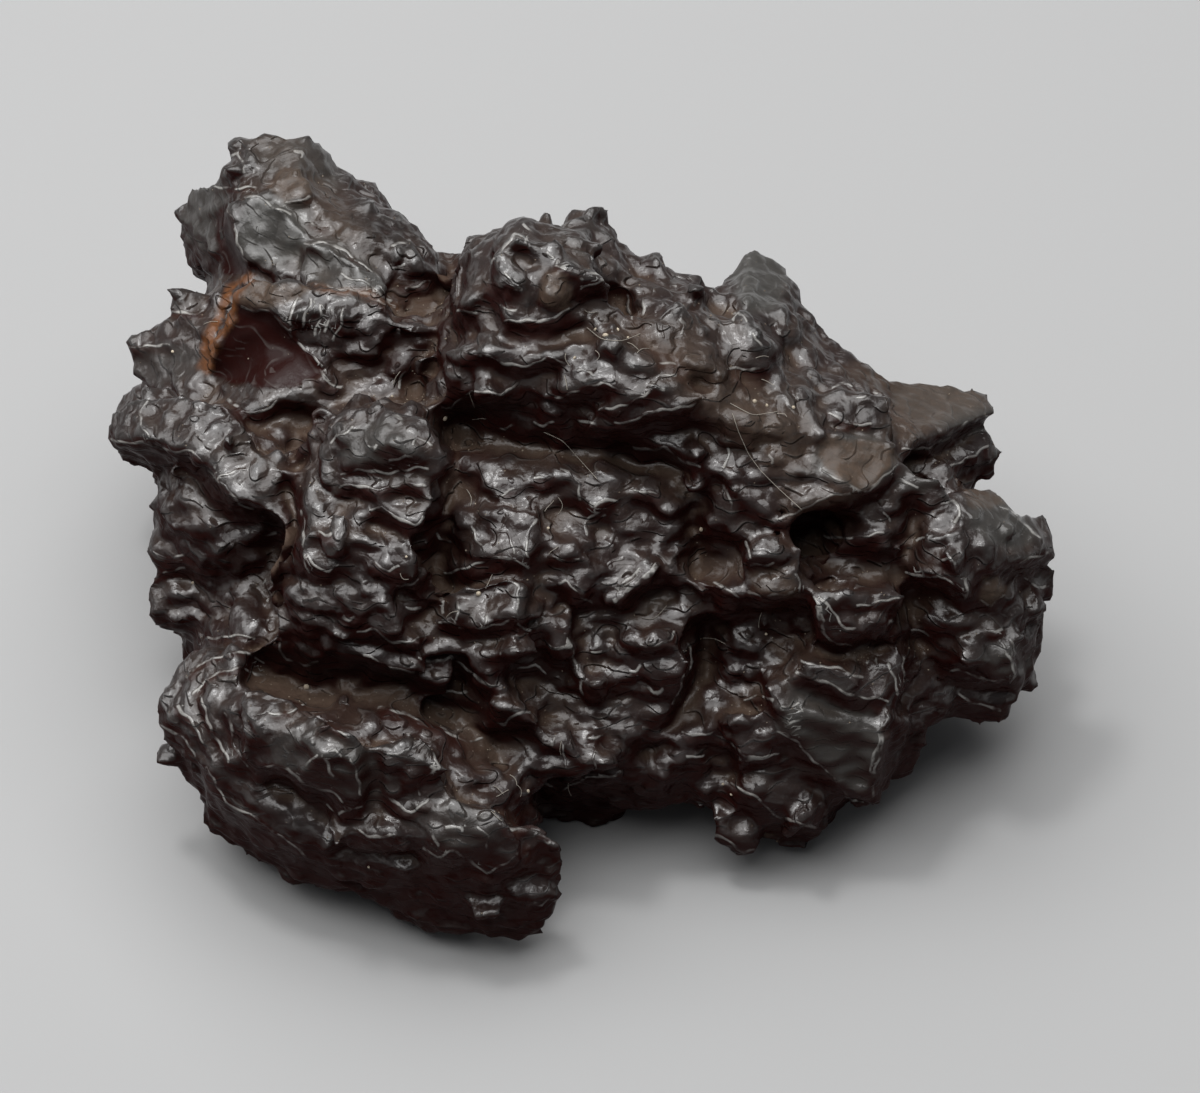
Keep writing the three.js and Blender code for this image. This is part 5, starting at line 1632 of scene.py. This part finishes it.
@dataclass
class LooseDirt:
    """Sand grains, specks of dust and hairs of lint that lie on the stone."""

    speck_count: int = 1100
    speck_low: float = 0.03
    speck_high: float = 0.1
    hair_radius: float = 0.018
    hair_lift: float = 0.05
    curl_count: int = 26
    curl_length: float = 0.9
    curl_steps: int = 6
    curl_spread: float = 0.8
    curl_turn: float = 0.7
    hair_step: float = 0.12
    hair_points: int = 6
    hair_rounds: int = 4
    drape_rounds: int = 12
    hair_sides: int = 5
    flat_from: float = 0.2
    open_share: float = 0.04
    pale_grain: float = 0.6
    grain_low: Triple = (0.6, 0.6, 0.6)
    grain_high: Triple = (1.15, 1.15, 1.15)
    far_off: float = 80.0
    seed: int = 5

    def landed(self, tree: BVHTree, middle: np.ndarray, seen: np.ndarray) -> np.ndarray:
        """Finds where places as seen are on the stone.

        Args:
            tree: the finished stone's tree.
            middle: where the middle of the view is, as seen.
            seen: across and up of each place.

        Returns:
            The points in millimetres, for the places that are on the stone.
        """
        found = []
        for across, up in seen + middle:
            start = Vector((across, 0, 0)) + UP_THE_VIEW * up + TO_VIEWER * self.far_off
            hit = tree.ray_cast(start, -TO_VIEWER)[0]
            if hit is not None:
                found.append(hit)
        return np.array(found)

    def grains(
        self, stone: bpy.types.Object, middle: np.ndarray, material: bpy.types.Material
    ) -> bpy.types.Object:
        """Scatters the sand grains and specks.

        Args:
            stone: the finished stone, in metres.
            middle: where the middle of the view is, as seen.
            material: their finish.

        Returns:
            The piece, in metres.
        """
        chance = np.random.default_rng(self.seed)
        placed = np.array(GRAINS)
        points = self.landed(tree_of(stone.data), middle, placed[:, :2])
        sizes = placed[:, 2] / 2
        count = len(stone.data.vertices)
        hollow = np.zeros(count, np.float32)
        stone.data.attributes[Mark.HOLLOW.value].data.foreach_get("value", hollow)
        upward = corners_of(stone.data, "normal")[:, 2].astype(np.float32)
        clear = corners_of(stone.data)[:, 2] > self.speck_high * MM
        weight = np.clip(upward - self.flat_from, 0, 1) * (self.open_share + hollow**2) * clear
        chosen = chance.choice(count, self.speck_count, replace=False, p=weight / weight.sum())
        points = np.concatenate([points, corners_of(stone.data)[chosen] / MM])
        sizes = np.concatenate([sizes, chance.uniform(self.speck_low, self.speck_high, len(chosen)) / 2])
        grown = sizes > self.speck_high / 2
        mesh = bpy.data.meshes.new("grain_places")
        mesh.from_pydata((points * MM).tolist(), [], [])
        keep(mesh, "size", sizes * MM)
        keep(mesh, "pale", grown * self.pale_grain + chance.random(len(sizes)) * (1 - self.pale_grain))
        work = new_piece("grain_places", mesh)
        tree = GeometryTree("grains")
        seed = tree.knob("Seed", self.seed, "NodeSocketInt")
        ball = tree.add("GeometryNodeMeshIcoSphere")
        ball.inputs["Radius"].default_value = 1.0
        ball.inputs["Subdivisions"].default_value = 2
        stretch = tree.random_vector(self.grain_low, self.grain_high, seed)
        placed_grains = tree.add("GeometryNodeInstanceOnPoints")
        tree.feed(placed_grains.inputs["Points"], tree.geometry)
        tree.feed(placed_grains.inputs["Instance"], ball.outputs["Mesh"])
        tree.feed(placed_grains.inputs["Rotation"], tree.random_vector((0, 0, 0), (math.tau,) * 3, seed))
        tree.feed(placed_grains.inputs["Scale"], tree.vector("SCALE", stretch, tree.named("size")))
        tree.finish(placed_grains.outputs[0], material)
        tree.put_on(work)
        return baked(work, "sand_grains")

    def hairs(
        self, stone: bpy.types.Object, middle: np.ndarray, material: bpy.types.Material
    ) -> bpy.types.Object:
        """Lays the hairs.

        Args:
            stone: the finished stone, in metres.
            middle: where the middle of the view is, as seen.
            material: their finish.

        Returns:
            The piece, in metres.
        """
        chance = np.random.default_rng(self.seed)
        landing = tree_of(stone.data)
        paths = [np.array(path, float) for path in HAIRS]
        homes = np.array(GRAINS)[:, :2]
        for _ in range(self.curl_count):
            home = homes[chance.integers(len(homes))] + chance.normal(0, self.curl_spread, 2)
            turns = chance.uniform(0, math.tau) + np.cumsum(chance.normal(0, self.curl_turn, self.curl_steps))
            steps = self.curl_length / self.curl_steps * np.stack([np.cos(turns), np.sin(turns)], axis=1)
            paths.append(home + np.cumsum(steps, axis=0))
        points: list[list[float]] = []
        edges: list[tuple[int, int]] = []
        for path in paths:
            run = np.concatenate([[0], np.cumsum(np.hypot(*np.diff(path, axis=0).T))])
            at = np.linspace(0, run[-1], max(self.hair_points, int(run[-1] / self.hair_step)))
            fine = np.stack([np.interp(at, run, path[:, 0]), np.interp(at, run, path[:, 1])], axis=1)
            for _ in range(self.hair_rounds):
                fine[1:-1] = 0.5 * fine[1:-1] + 0.25 * (fine[:-2] + fine[2:])
            hits = self.landed(landing, middle, fine)
            if len(hits) < len(fine):
                continue
            depth = hits @ np.array(TO_VIEWER)
            laid = depth.copy()
            for _ in range(self.drape_rounds):
                laid[1:-1] = np.maximum(depth[1:-1], 0.5 * (laid[:-2] + laid[2:]))
            hits = hits + np.outer(laid - depth + self.hair_lift, np.array(TO_VIEWER))
            start = len(points)
            points += (hits * MM).tolist()
            edges += [(start + step, start + step + 1) for step in range(len(hits) - 1)]
        mesh = bpy.data.meshes.new("hair_paths")
        mesh.from_pydata(points, edges, [])
        work = new_piece("hair_paths", mesh)
        tree = GeometryTree("hairs")
        radius = tree.knob("Radius", self.hair_radius * MM)
        curve = tree.add("GeometryNodeMeshToCurve")
        tree.feed(curve.inputs["Mesh"], tree.geometry)
        ring = tree.add("GeometryNodeCurvePrimitiveCircle")
        ring.inputs["Resolution"].default_value = self.hair_sides
        tree.feed(ring.inputs["Radius"], radius)
        tube = tree.add("GeometryNodeCurveToMesh")
        tree.feed(tube.inputs["Curve"], curve.outputs["Curve"])
        tree.feed(tube.inputs["Profile Curve"], ring.outputs["Curve"])
        tube.inputs["Fill Caps"].default_value = True
        tree.finish(tube.outputs["Mesh"], material)
        tree.put_on(work)
        return baked(work, "lint_hairs")


@dataclass(frozen=True)
class DirtFinish:
    """The dull finish of sand and lint."""

    brown: Triple = (0.1, 0.07, 0.048)
    pale: Triple = (0.5, 0.43, 0.33)
    lint: Triple = (0.3, 0.27, 0.23)
    sand_rough: float = 0.7
    lint_rough: float = 0.8

    def sand(self) -> bpy.types.Material:
        """Builds the sand's material.

        Returns:
            The material.
        """
        made, graph, shader = new_finish("sand")
        pale = graph.add("ShaderNodeAttribute", attribute_name="pale").outputs["Fac"]
        graph.feed(shader.inputs["Base Color"], graph.blend(pale, (*self.brown, 1), (*self.pale, 1)))
        shader.inputs["Roughness"].default_value = self.sand_rough
        return made

    def fluff(self) -> bpy.types.Material:
        """Builds the lint's material.

        Returns:
            The material.
        """
        made, _, shader = new_finish("lint")
        shader.inputs["Base Color"].default_value = (*self.lint, 1)
        shader.inputs["Roughness"].default_value = self.lint_rough
        return made


@dataclass(frozen=True)
class Surface:
    """What the stone's finish is worked out from, wired once."""

    graph: Graph
    place: bpy.types.NodeSocket
    carried: dict[Mark, bpy.types.NodeSocket]
    slope: bpy.types.NodeSocket
    stirred: bpy.types.NodeSocket
    ledge: bpy.types.NodeSocket
    rim: bpy.types.NodeSocket
    lively: bpy.types.NodeSocket
    dirt: bpy.types.NodeSocket
    # Near raised lips: crests in the relief and thin painted highlights in the colour.
    crest: bpy.types.NodeSocket
    bare: bpy.types.NodeSocket


@dataclass(frozen=True)
class StoneFinish:
    """The half-metallic brown-black finish of the stone, with its dust and rust, painted shade and painted
    highlights.

    Spans, noises and stirs are as for the stone's body. A share is a factor and what is added to it.
    """

    varnish: Triple = (0.01, 0.0058, 0.005)
    dust: Triple = (0.08, 0.054, 0.039)
    # Dark maroon painted shade, for points that are shut in, look down, lie on the shaded flat faces, under a
    # lip or at a valley's bottom.
    painted_shade: Triple = (0.018, 0.0036, 0.0028)
    # Light grey of wear on ridges and of painted highlights on rims and lips that look up.
    wear_and_highlight: Triple = (0.36, 0.35, 0.33)
    rust: Triple = (0.13, 0.05, 0.018)
    tan: Triple = (0.08, 0.055, 0.04)
    # Grey of the painted sheen on calm faces that look up.
    painted_sheen_grey: Triple = (0.062, 0.06, 0.054)
    gloss: float = 0.33
    gloss_spread: float = 0.12
    dull: float = 0.55
    base_ior: float = 1.15
    coat_ior: float = 1.7
    coat_rough: float = 0.3
    least_coat: float = 0.02
    film: float = 0.7
    film_calm: float = 0.8
    painted_sheen_share: float = 0.7
    shut_shade_share: float = 0.9
    ridge_wear_and_highlight: float = 0.05
    rim_wear_and_highlight: float = 0.1
    line_highlight: float = 0.85
    facet: float = 1.4
    facet_finer: float = 2.2
    large_tilt: float = 0.3
    small_tilt: float = 0.07
    step: float = 0.7
    step_height: float = 0.17
    fine_height: float = 0.03
    satin_height: float = 0.012
    crest_height: float = 0.03
    relief_calm: float = 0.6
    bump: float = 0.9
    stretch: Triple = (1.0, 1.0, 1.5)
    stir: Pair = (1.1, 0.35)
    grouping: float = 0.7
    sway: float = 3.0
    sway_noise: Pair = (0.45, 1.0)
    broken_noise: Pair = (0.9, 1.0)
    patch_noise: Pair = (0.35, 3.0)
    line_noise: Pair = (1.1, 2.0)
    grain_noise: Pair = (3.2, 4.0)
    blotch_noise: Pair = (1.6, 3.0)
    fine_noise: Triple = (2.4, 3.0, 0.3)
    satin_noise: Pair = (6.5, 2.0)
    broken_span: Pair = (0.35, 0.6)
    patch_span: Pair = (0.35, 0.7)
    patch_share: Pair = (0.4, 0.1)
    settled_share: Pair = (0.85, 0.05)
    up_span: Pair = (0.2, 0.95)
    down_shade_span: Pair = (0.55, 0.15)
    lit_span: Pair = (-0.1, 0.45)
    up_highlight_span: Pair = (0.0, 0.6)
    lip_span: Pair = (0.09, 0.02)
    shine_span: Pair = (0.4, 0.7)
    line_span: Pair = (0.38, 0.6)
    line_slope: Quad = (-0.3, 0.5, 0.25, 1.0)
    grain: Pair = (1.5, 0.1)
    blotch_span: Pair = (0.3, 0.75)
    coat_span: Pair = (0.22, 0.7)
    open_span: Pair = (1.0, 0.5)
    dirt_dulls: float = 0.6
    bare_dulls: float = 0.65
    flat_dulls: float = 0.92
    shade_dulls: float = 0.7

    def surface(self, graph: Graph) -> Surface:
        """Wires what colour, gloss and relief share.

        Args:
            graph: the material's graph.

        Returns:
            The shared values.
        """
        place = graph.vector("SCALE", graph.add("ShaderNodeTexCoord").outputs["Object"], 1 / MM)
        carried = {
            mark: graph.add("ShaderNodeAttribute", attribute_name=mark.value).outputs["Fac"]
            for mark in Mark
            if mark is not Mark.CALM
        }
        slope = graph.part(graph.add("ShaderNodeNewGeometry").outputs["Normal"])
        stretched = graph.vector("MULTIPLY", place, self.stretch)
        stirred = graph.stirred(stretched, place, *self.stir)
        grouped = graph.add("ShaderNodeTexVoronoi", feature="F1")
        graph.feed(grouped.inputs["Vector"], stirred)
        graph.feed(grouped.inputs["Scale"], self.grouping / self.facet)
        chance = graph.part(grouped.outputs["Color"], "X")
        sway = graph.math("MULTIPLY_ADD", graph.noise(place, *self.sway_noise), self.sway, chance)
        ledge, rim = graph.steps(graph.math("MULTIPLY_ADD", graph.part(place), 1 / self.step, sway))
        broken = graph.ramp(graph.noise(place, *self.broken_noise), *self.broken_span)
        lively = graph.without(carried[Mark.FLAT])
        upward = graph.ramp(slope, *self.up_span)
        patches = graph.ramp(graph.noise(place, *self.patch_noise), *self.patch_span)
        patches = graph.math("MULTIPLY_ADD", patches, *self.patch_share)
        calm = graph.without(carried[Mark.CALM_FACE], self.film_calm)
        film = graph.product(upward, patches, calm, graph.without(carried[Mark.RIDGE]), self.film)
        settled = graph.product(carried[Mark.HOLLOW], graph.math("MULTIPLY_ADD", upward, *self.settled_share))
        near = graph.ramp(graph.math("ABSOLUTE", carried[Mark.LIP]), *self.lip_span)
        return Surface(
            graph=graph,
            place=place,
            carried=carried,
            slope=slope,
            stirred=stirred,
            ledge=graph.product(ledge, broken),
            rim=graph.product(rim, broken),
            lively=lively,
            dirt=graph.product(graph.largest(film, settled), lively),
            crest=graph.product(near, graph.ramp(carried[Mark.SHINE], *self.shine_span)),
            bare=graph.largest(carried[Mark.TAN], carried[Mark.RUST]),
        )

    def colour(self, on: Surface) -> bpy.types.NodeSocket:
        """Wires the colour under the coat, with painted shade, a painted sheen and painted highlights.

        Args:
            on: the shared values.

        Returns:
            The colour.
        """
        graph, carried = on.graph, on.carried
        # Painted shade: the dark maroon goes where the stone is shut in, looks down, lies on the shaded flat
        # faces, under a lip or at a valley's bottom.
        down_shade = graph.ramp(on.slope, *self.down_shade_span)
        shut_shade = graph.product(carried[Mark.SHUT], self.shut_shade_share)
        shade_share = graph.largest(shut_shade, down_shade, carried[Mark.FLAT], carried[Mark.SHADE])
        body = graph.blend(shade_share, (*self.varnish, 1), (*self.painted_shade, 1))
        body = graph.blend(on.dirt, body, (*self.dust, 1))
        # Painted sheen: a lighter grey on calm faces that look up, where the light falls.
        lit = graph.ramp(on.slope, *self.lit_span)
        sheen = graph.product(carried[Mark.CALM_FACE], lit, on.lively, self.painted_sheen_share)
        body = graph.blend(sheen, body, (*self.painted_sheen_grey, 1))
        # Light grey on ridges and step rims that look up, partly wear and partly painted highlight; the thin
        # lines along raised lips are painted highlights.
        wear_and_highlight_share = graph.largest(
            graph.product(carried[Mark.RIDGE], self.ridge_wear_and_highlight), graph.product(on.rim, self.rim_wear_and_highlight)
        )
        wear_and_highlight_share = graph.product(wear_and_highlight_share, graph.ramp(on.slope, *self.up_highlight_span))
        broken = graph.ramp(graph.noise(on.place, *self.line_noise), *self.line_span)
        line = graph.product(on.crest, broken, graph.ramp(on.slope, *self.line_slope), self.line_highlight)
        body = graph.blend(graph.largest(wear_and_highlight_share, line), body, (*self.wear_and_highlight, 1))
        grain = graph.math("MULTIPLY_ADD", graph.noise(on.place, *self.grain_noise), *self.grain)
        for mark, colour in ((Mark.TAN, self.tan), (Mark.RUST, self.rust)):
            share = graph.math("MULTIPLY", carried[mark], grain, clamp=True)
            body = graph.blend(share, body, (*colour, 1))
        return body

    def roughness(self, on: Surface) -> bpy.types.NodeSocket:
        """Wires how rough the stone is under the coat.

        Args:
            on: the shared values.

        Returns:
            The roughness.
        """
        graph = on.graph
        blotch = graph.ramp(graph.noise(on.place, *self.blotch_noise), *self.blotch_span)
        rough = graph.math("MULTIPLY_ADD", blotch, self.gloss_spread, self.gloss)
        spread = graph.product(graph.largest(on.dirt, on.bare), self.dull - self.gloss)
        return graph.math("ADD", rough, spread, clamp=True)

    def coat(self, on: Surface) -> bpy.types.NodeSocket:
        """Wires how much coat there is, most of it on clean faces that look up.

        Args:
            on: the shared values.

        Returns:
            The coat's weight.
        """
        graph, carried = on.graph, on.carried
        polish = graph.product(
            graph.ramp(on.slope, *self.coat_span),
            graph.ramp(carried[Mark.SHUT], *self.open_span),
            graph.without(on.dirt, self.dirt_dulls),
            graph.without(on.bare, self.bare_dulls),
            graph.without(carried[Mark.FLAT], self.flat_dulls),
            graph.without(carried[Mark.SHADE], self.shade_dulls),
        )
        return graph.largest(polish, self.least_coat)

    def relief(self, on: Surface) -> bpy.types.NodeSocket:
        """Wires the relief that is finer than the mesh.

        Args:
            on: the shared values.

        Returns:
            The normal.
        """
        graph = on.graph
        large = graph.facets(on.stirred, 1 / self.facet, self.large_tilt)
        small = graph.facets(on.stirred, self.facet_finer / self.facet, self.small_tilt)
        fine = graph.product(graph.noise(on.place, *self.fine_noise), self.fine_height)
        relief = graph.total(large, small, fine, graph.product(on.ledge, self.step_height))
        relief = graph.product(relief, on.lively, graph.without(on.carried[Mark.CALM_FACE], self.relief_calm))
        satin = graph.product(graph.noise(on.place, *self.satin_noise), self.satin_height)
        bump = graph.add("ShaderNodeBump")
        bump.inputs["Strength"].default_value = self.bump
        bump.inputs["Distance"].default_value = MM
        height = graph.total(relief, graph.product(on.crest, self.crest_height), satin)
        graph.feed(bump.inputs["Height"], height)
        return bump.outputs["Normal"]

    def material(self) -> bpy.types.Material:
        """Builds the material.

        Returns:
            The material.
        """
        made, graph, shader = new_finish("stone_varnish")
        on = self.surface(graph)
        normal = self.relief(on)
        graph.feed(shader.inputs["Base Color"], self.colour(on))
        graph.feed(shader.inputs["Roughness"], self.roughness(on))
        graph.feed(shader.inputs["Coat Weight"], self.coat(on))
        graph.feed(shader.inputs["Normal"], normal)
        graph.feed(shader.inputs["Coat Normal"], normal)
        shader.inputs["IOR"].default_value = self.base_ior
        shader.inputs["Coat IOR"].default_value = self.coat_ior
        shader.inputs["Coat Roughness"].default_value = self.coat_rough
        return made


@dataclass(frozen=True)
class Studio:
    """The floor, the soft lights and the camera."""

    distance: float = 700.0
    floor_size: float = 3000.0
    floor_tone: float = 0.38
    floor_rough: float = 0.9
    sensor_width: float = 36.0
    first_lens: float = 420.0
    aim_rounds: int = 4
    nearest_m: float = 0.02
    farthest_m: float = 10.0
    glow: Triple = (0.85, 0.88, 0.92)
    glow_strength: float = 0.12
    lamps: tuple[tuple[str, Triple, float, float], ...] = (
        ("soft_box", (-60, 70, 380), 600, 3.1),
        ("small_lamp", (-90, 60, 370), 60, 0.35),
        ("side_light", (-330, 40, 200), 160, 0.12),
    )

    def floor(self) -> None:
        """Lays a plain pale floor under the stone."""
        half = self.floor_size * MM / 2
        mesh = bpy.data.meshes.new("floor")
        corners = [(-half, -half, 0), (half, -half, 0), (half, half, 0), (-half, half, 0)]
        mesh.from_pydata(corners, [], [(0, 1, 2, 3)])
        piece = new_piece("floor", mesh)
        paint, _, shader = new_finish("floor_paint")
        shader.inputs["Base Color"].default_value = (self.floor_tone,) * 3 + (1,)
        shader.inputs["Roughness"].default_value = self.floor_rough
        mesh.materials.append(paint)

    def light(self, name: str, place: Vector, size: float, power: float) -> None:
        """Hangs a soft light that looks at the stone.

        Args:
            name: the light's name.
            place: where it hangs.
            size: its width.
            power: its strength in watts.
        """
        lamp = bpy.data.lights.new(name, "AREA")
        lamp.size = size * MM
        lamp.energy = power
        holder = bpy.data.objects.new(name, lamp)
        bpy.context.scene.collection.objects.link(holder)
        holder.location = place * MM
        holder.rotation_euler = (-place).to_track_quat("-Z", "Y").to_euler()

    def lights(self) -> None:
        """Hangs the lights and sets the room's glow."""
        for name, place, size, power in self.lamps:
            self.light(name, Vector(place), size, power)
        world = bpy.data.worlds.new("room")
        world.use_nodes = True
        glow = world.node_tree.nodes["Background"]
        glow.inputs["Color"].default_value = (*self.glow, 1)
        glow.inputs["Strength"].default_value = self.glow_strength
        bpy.context.scene.world = world
        bpy.context.scene.view_settings.view_transform = "Standard"

    def camera(self, stone: bpy.types.Object) -> None:
        """Sets the camera so that the stone fills the same box of the picture as in the photo.

        Args:
            stone: the finished stone.
        """
        points = corners_of(stone.data)
        data = bpy.data.cameras.new("camera")
        holder = bpy.data.objects.new("camera", data)
        bpy.context.scene.collection.objects.link(holder)
        data.sensor_width = self.sensor_width
        aim = Vector(points.mean(axis=0))
        wide = (STONE_RIGHT_PX - STONE_LEFT_PX) / PHOTO_WIDTH_PX
        middle_across = (STONE_LEFT_PX + STONE_RIGHT_PX - PHOTO_WIDTH_PX) / 2 / PHOTO_WIDTH_PX
        middle_up = (PHOTO_HEIGHT_PX - STONE_TOP_PX - STONE_BOTTOM_PX) / 2 / PHOTO_WIDTH_PX
        lens = self.first_lens
        for _ in range(self.aim_rounds):
            eye = aim + TO_VIEWER * self.distance * MM
            offset = points - np.array(eye)
            depth = -offset @ np.array(TO_VIEWER)
            across = offset[:, 0] / depth * lens / self.sensor_width
            up = offset @ np.array(UP_THE_VIEW) / depth * lens / self.sensor_width
            scale = self.distance * MM * self.sensor_width / lens
            aim.x += ((across.min() + across.max()) / 2 - middle_across) * scale
            aim += UP_THE_VIEW * ((up.min() + up.max()) / 2 - middle_up) * scale
            lens *= wide / (across.max() - across.min())
        data.lens = lens
        data.clip_start = self.nearest_m
        data.clip_end = self.farthest_m
        holder.location = aim + TO_VIEWER * self.distance * MM
        holder.rotation_euler = (-TO_VIEWER).to_track_quat("-Z", "Y").to_euler()
        bpy.context.scene.camera = holder


def main() -> None:
    """Builds the stone and its studio."""
    logging.basicConfig(level=logging.INFO, format="%(name)s: %(message)s")
    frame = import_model()
    solid = frame["nodes"]["stone"]
    finish = StoneFinish().material()
    stone = StoneBody().build(solid, finish)
    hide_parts("stone")
    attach(stone, "root")
    middle = middle_of_view(solid.data)
    dirt = LooseDirt()
    sand = dirt.grains(stone, middle, DirtFinish().sand())
    lint = dirt.hairs(stone, middle, DirtFinish().fluff())
    for piece in (sand, lint):
        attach(piece, "root")
    for piece in (stone, sand, lint):
        LOG.info("%s: %d faces", piece.name, len(piece.data.polygons))
    studio = Studio()
    studio.floor()
    studio.lights()
    studio.camera(stone)


if __name__ == "__main__":
    main()
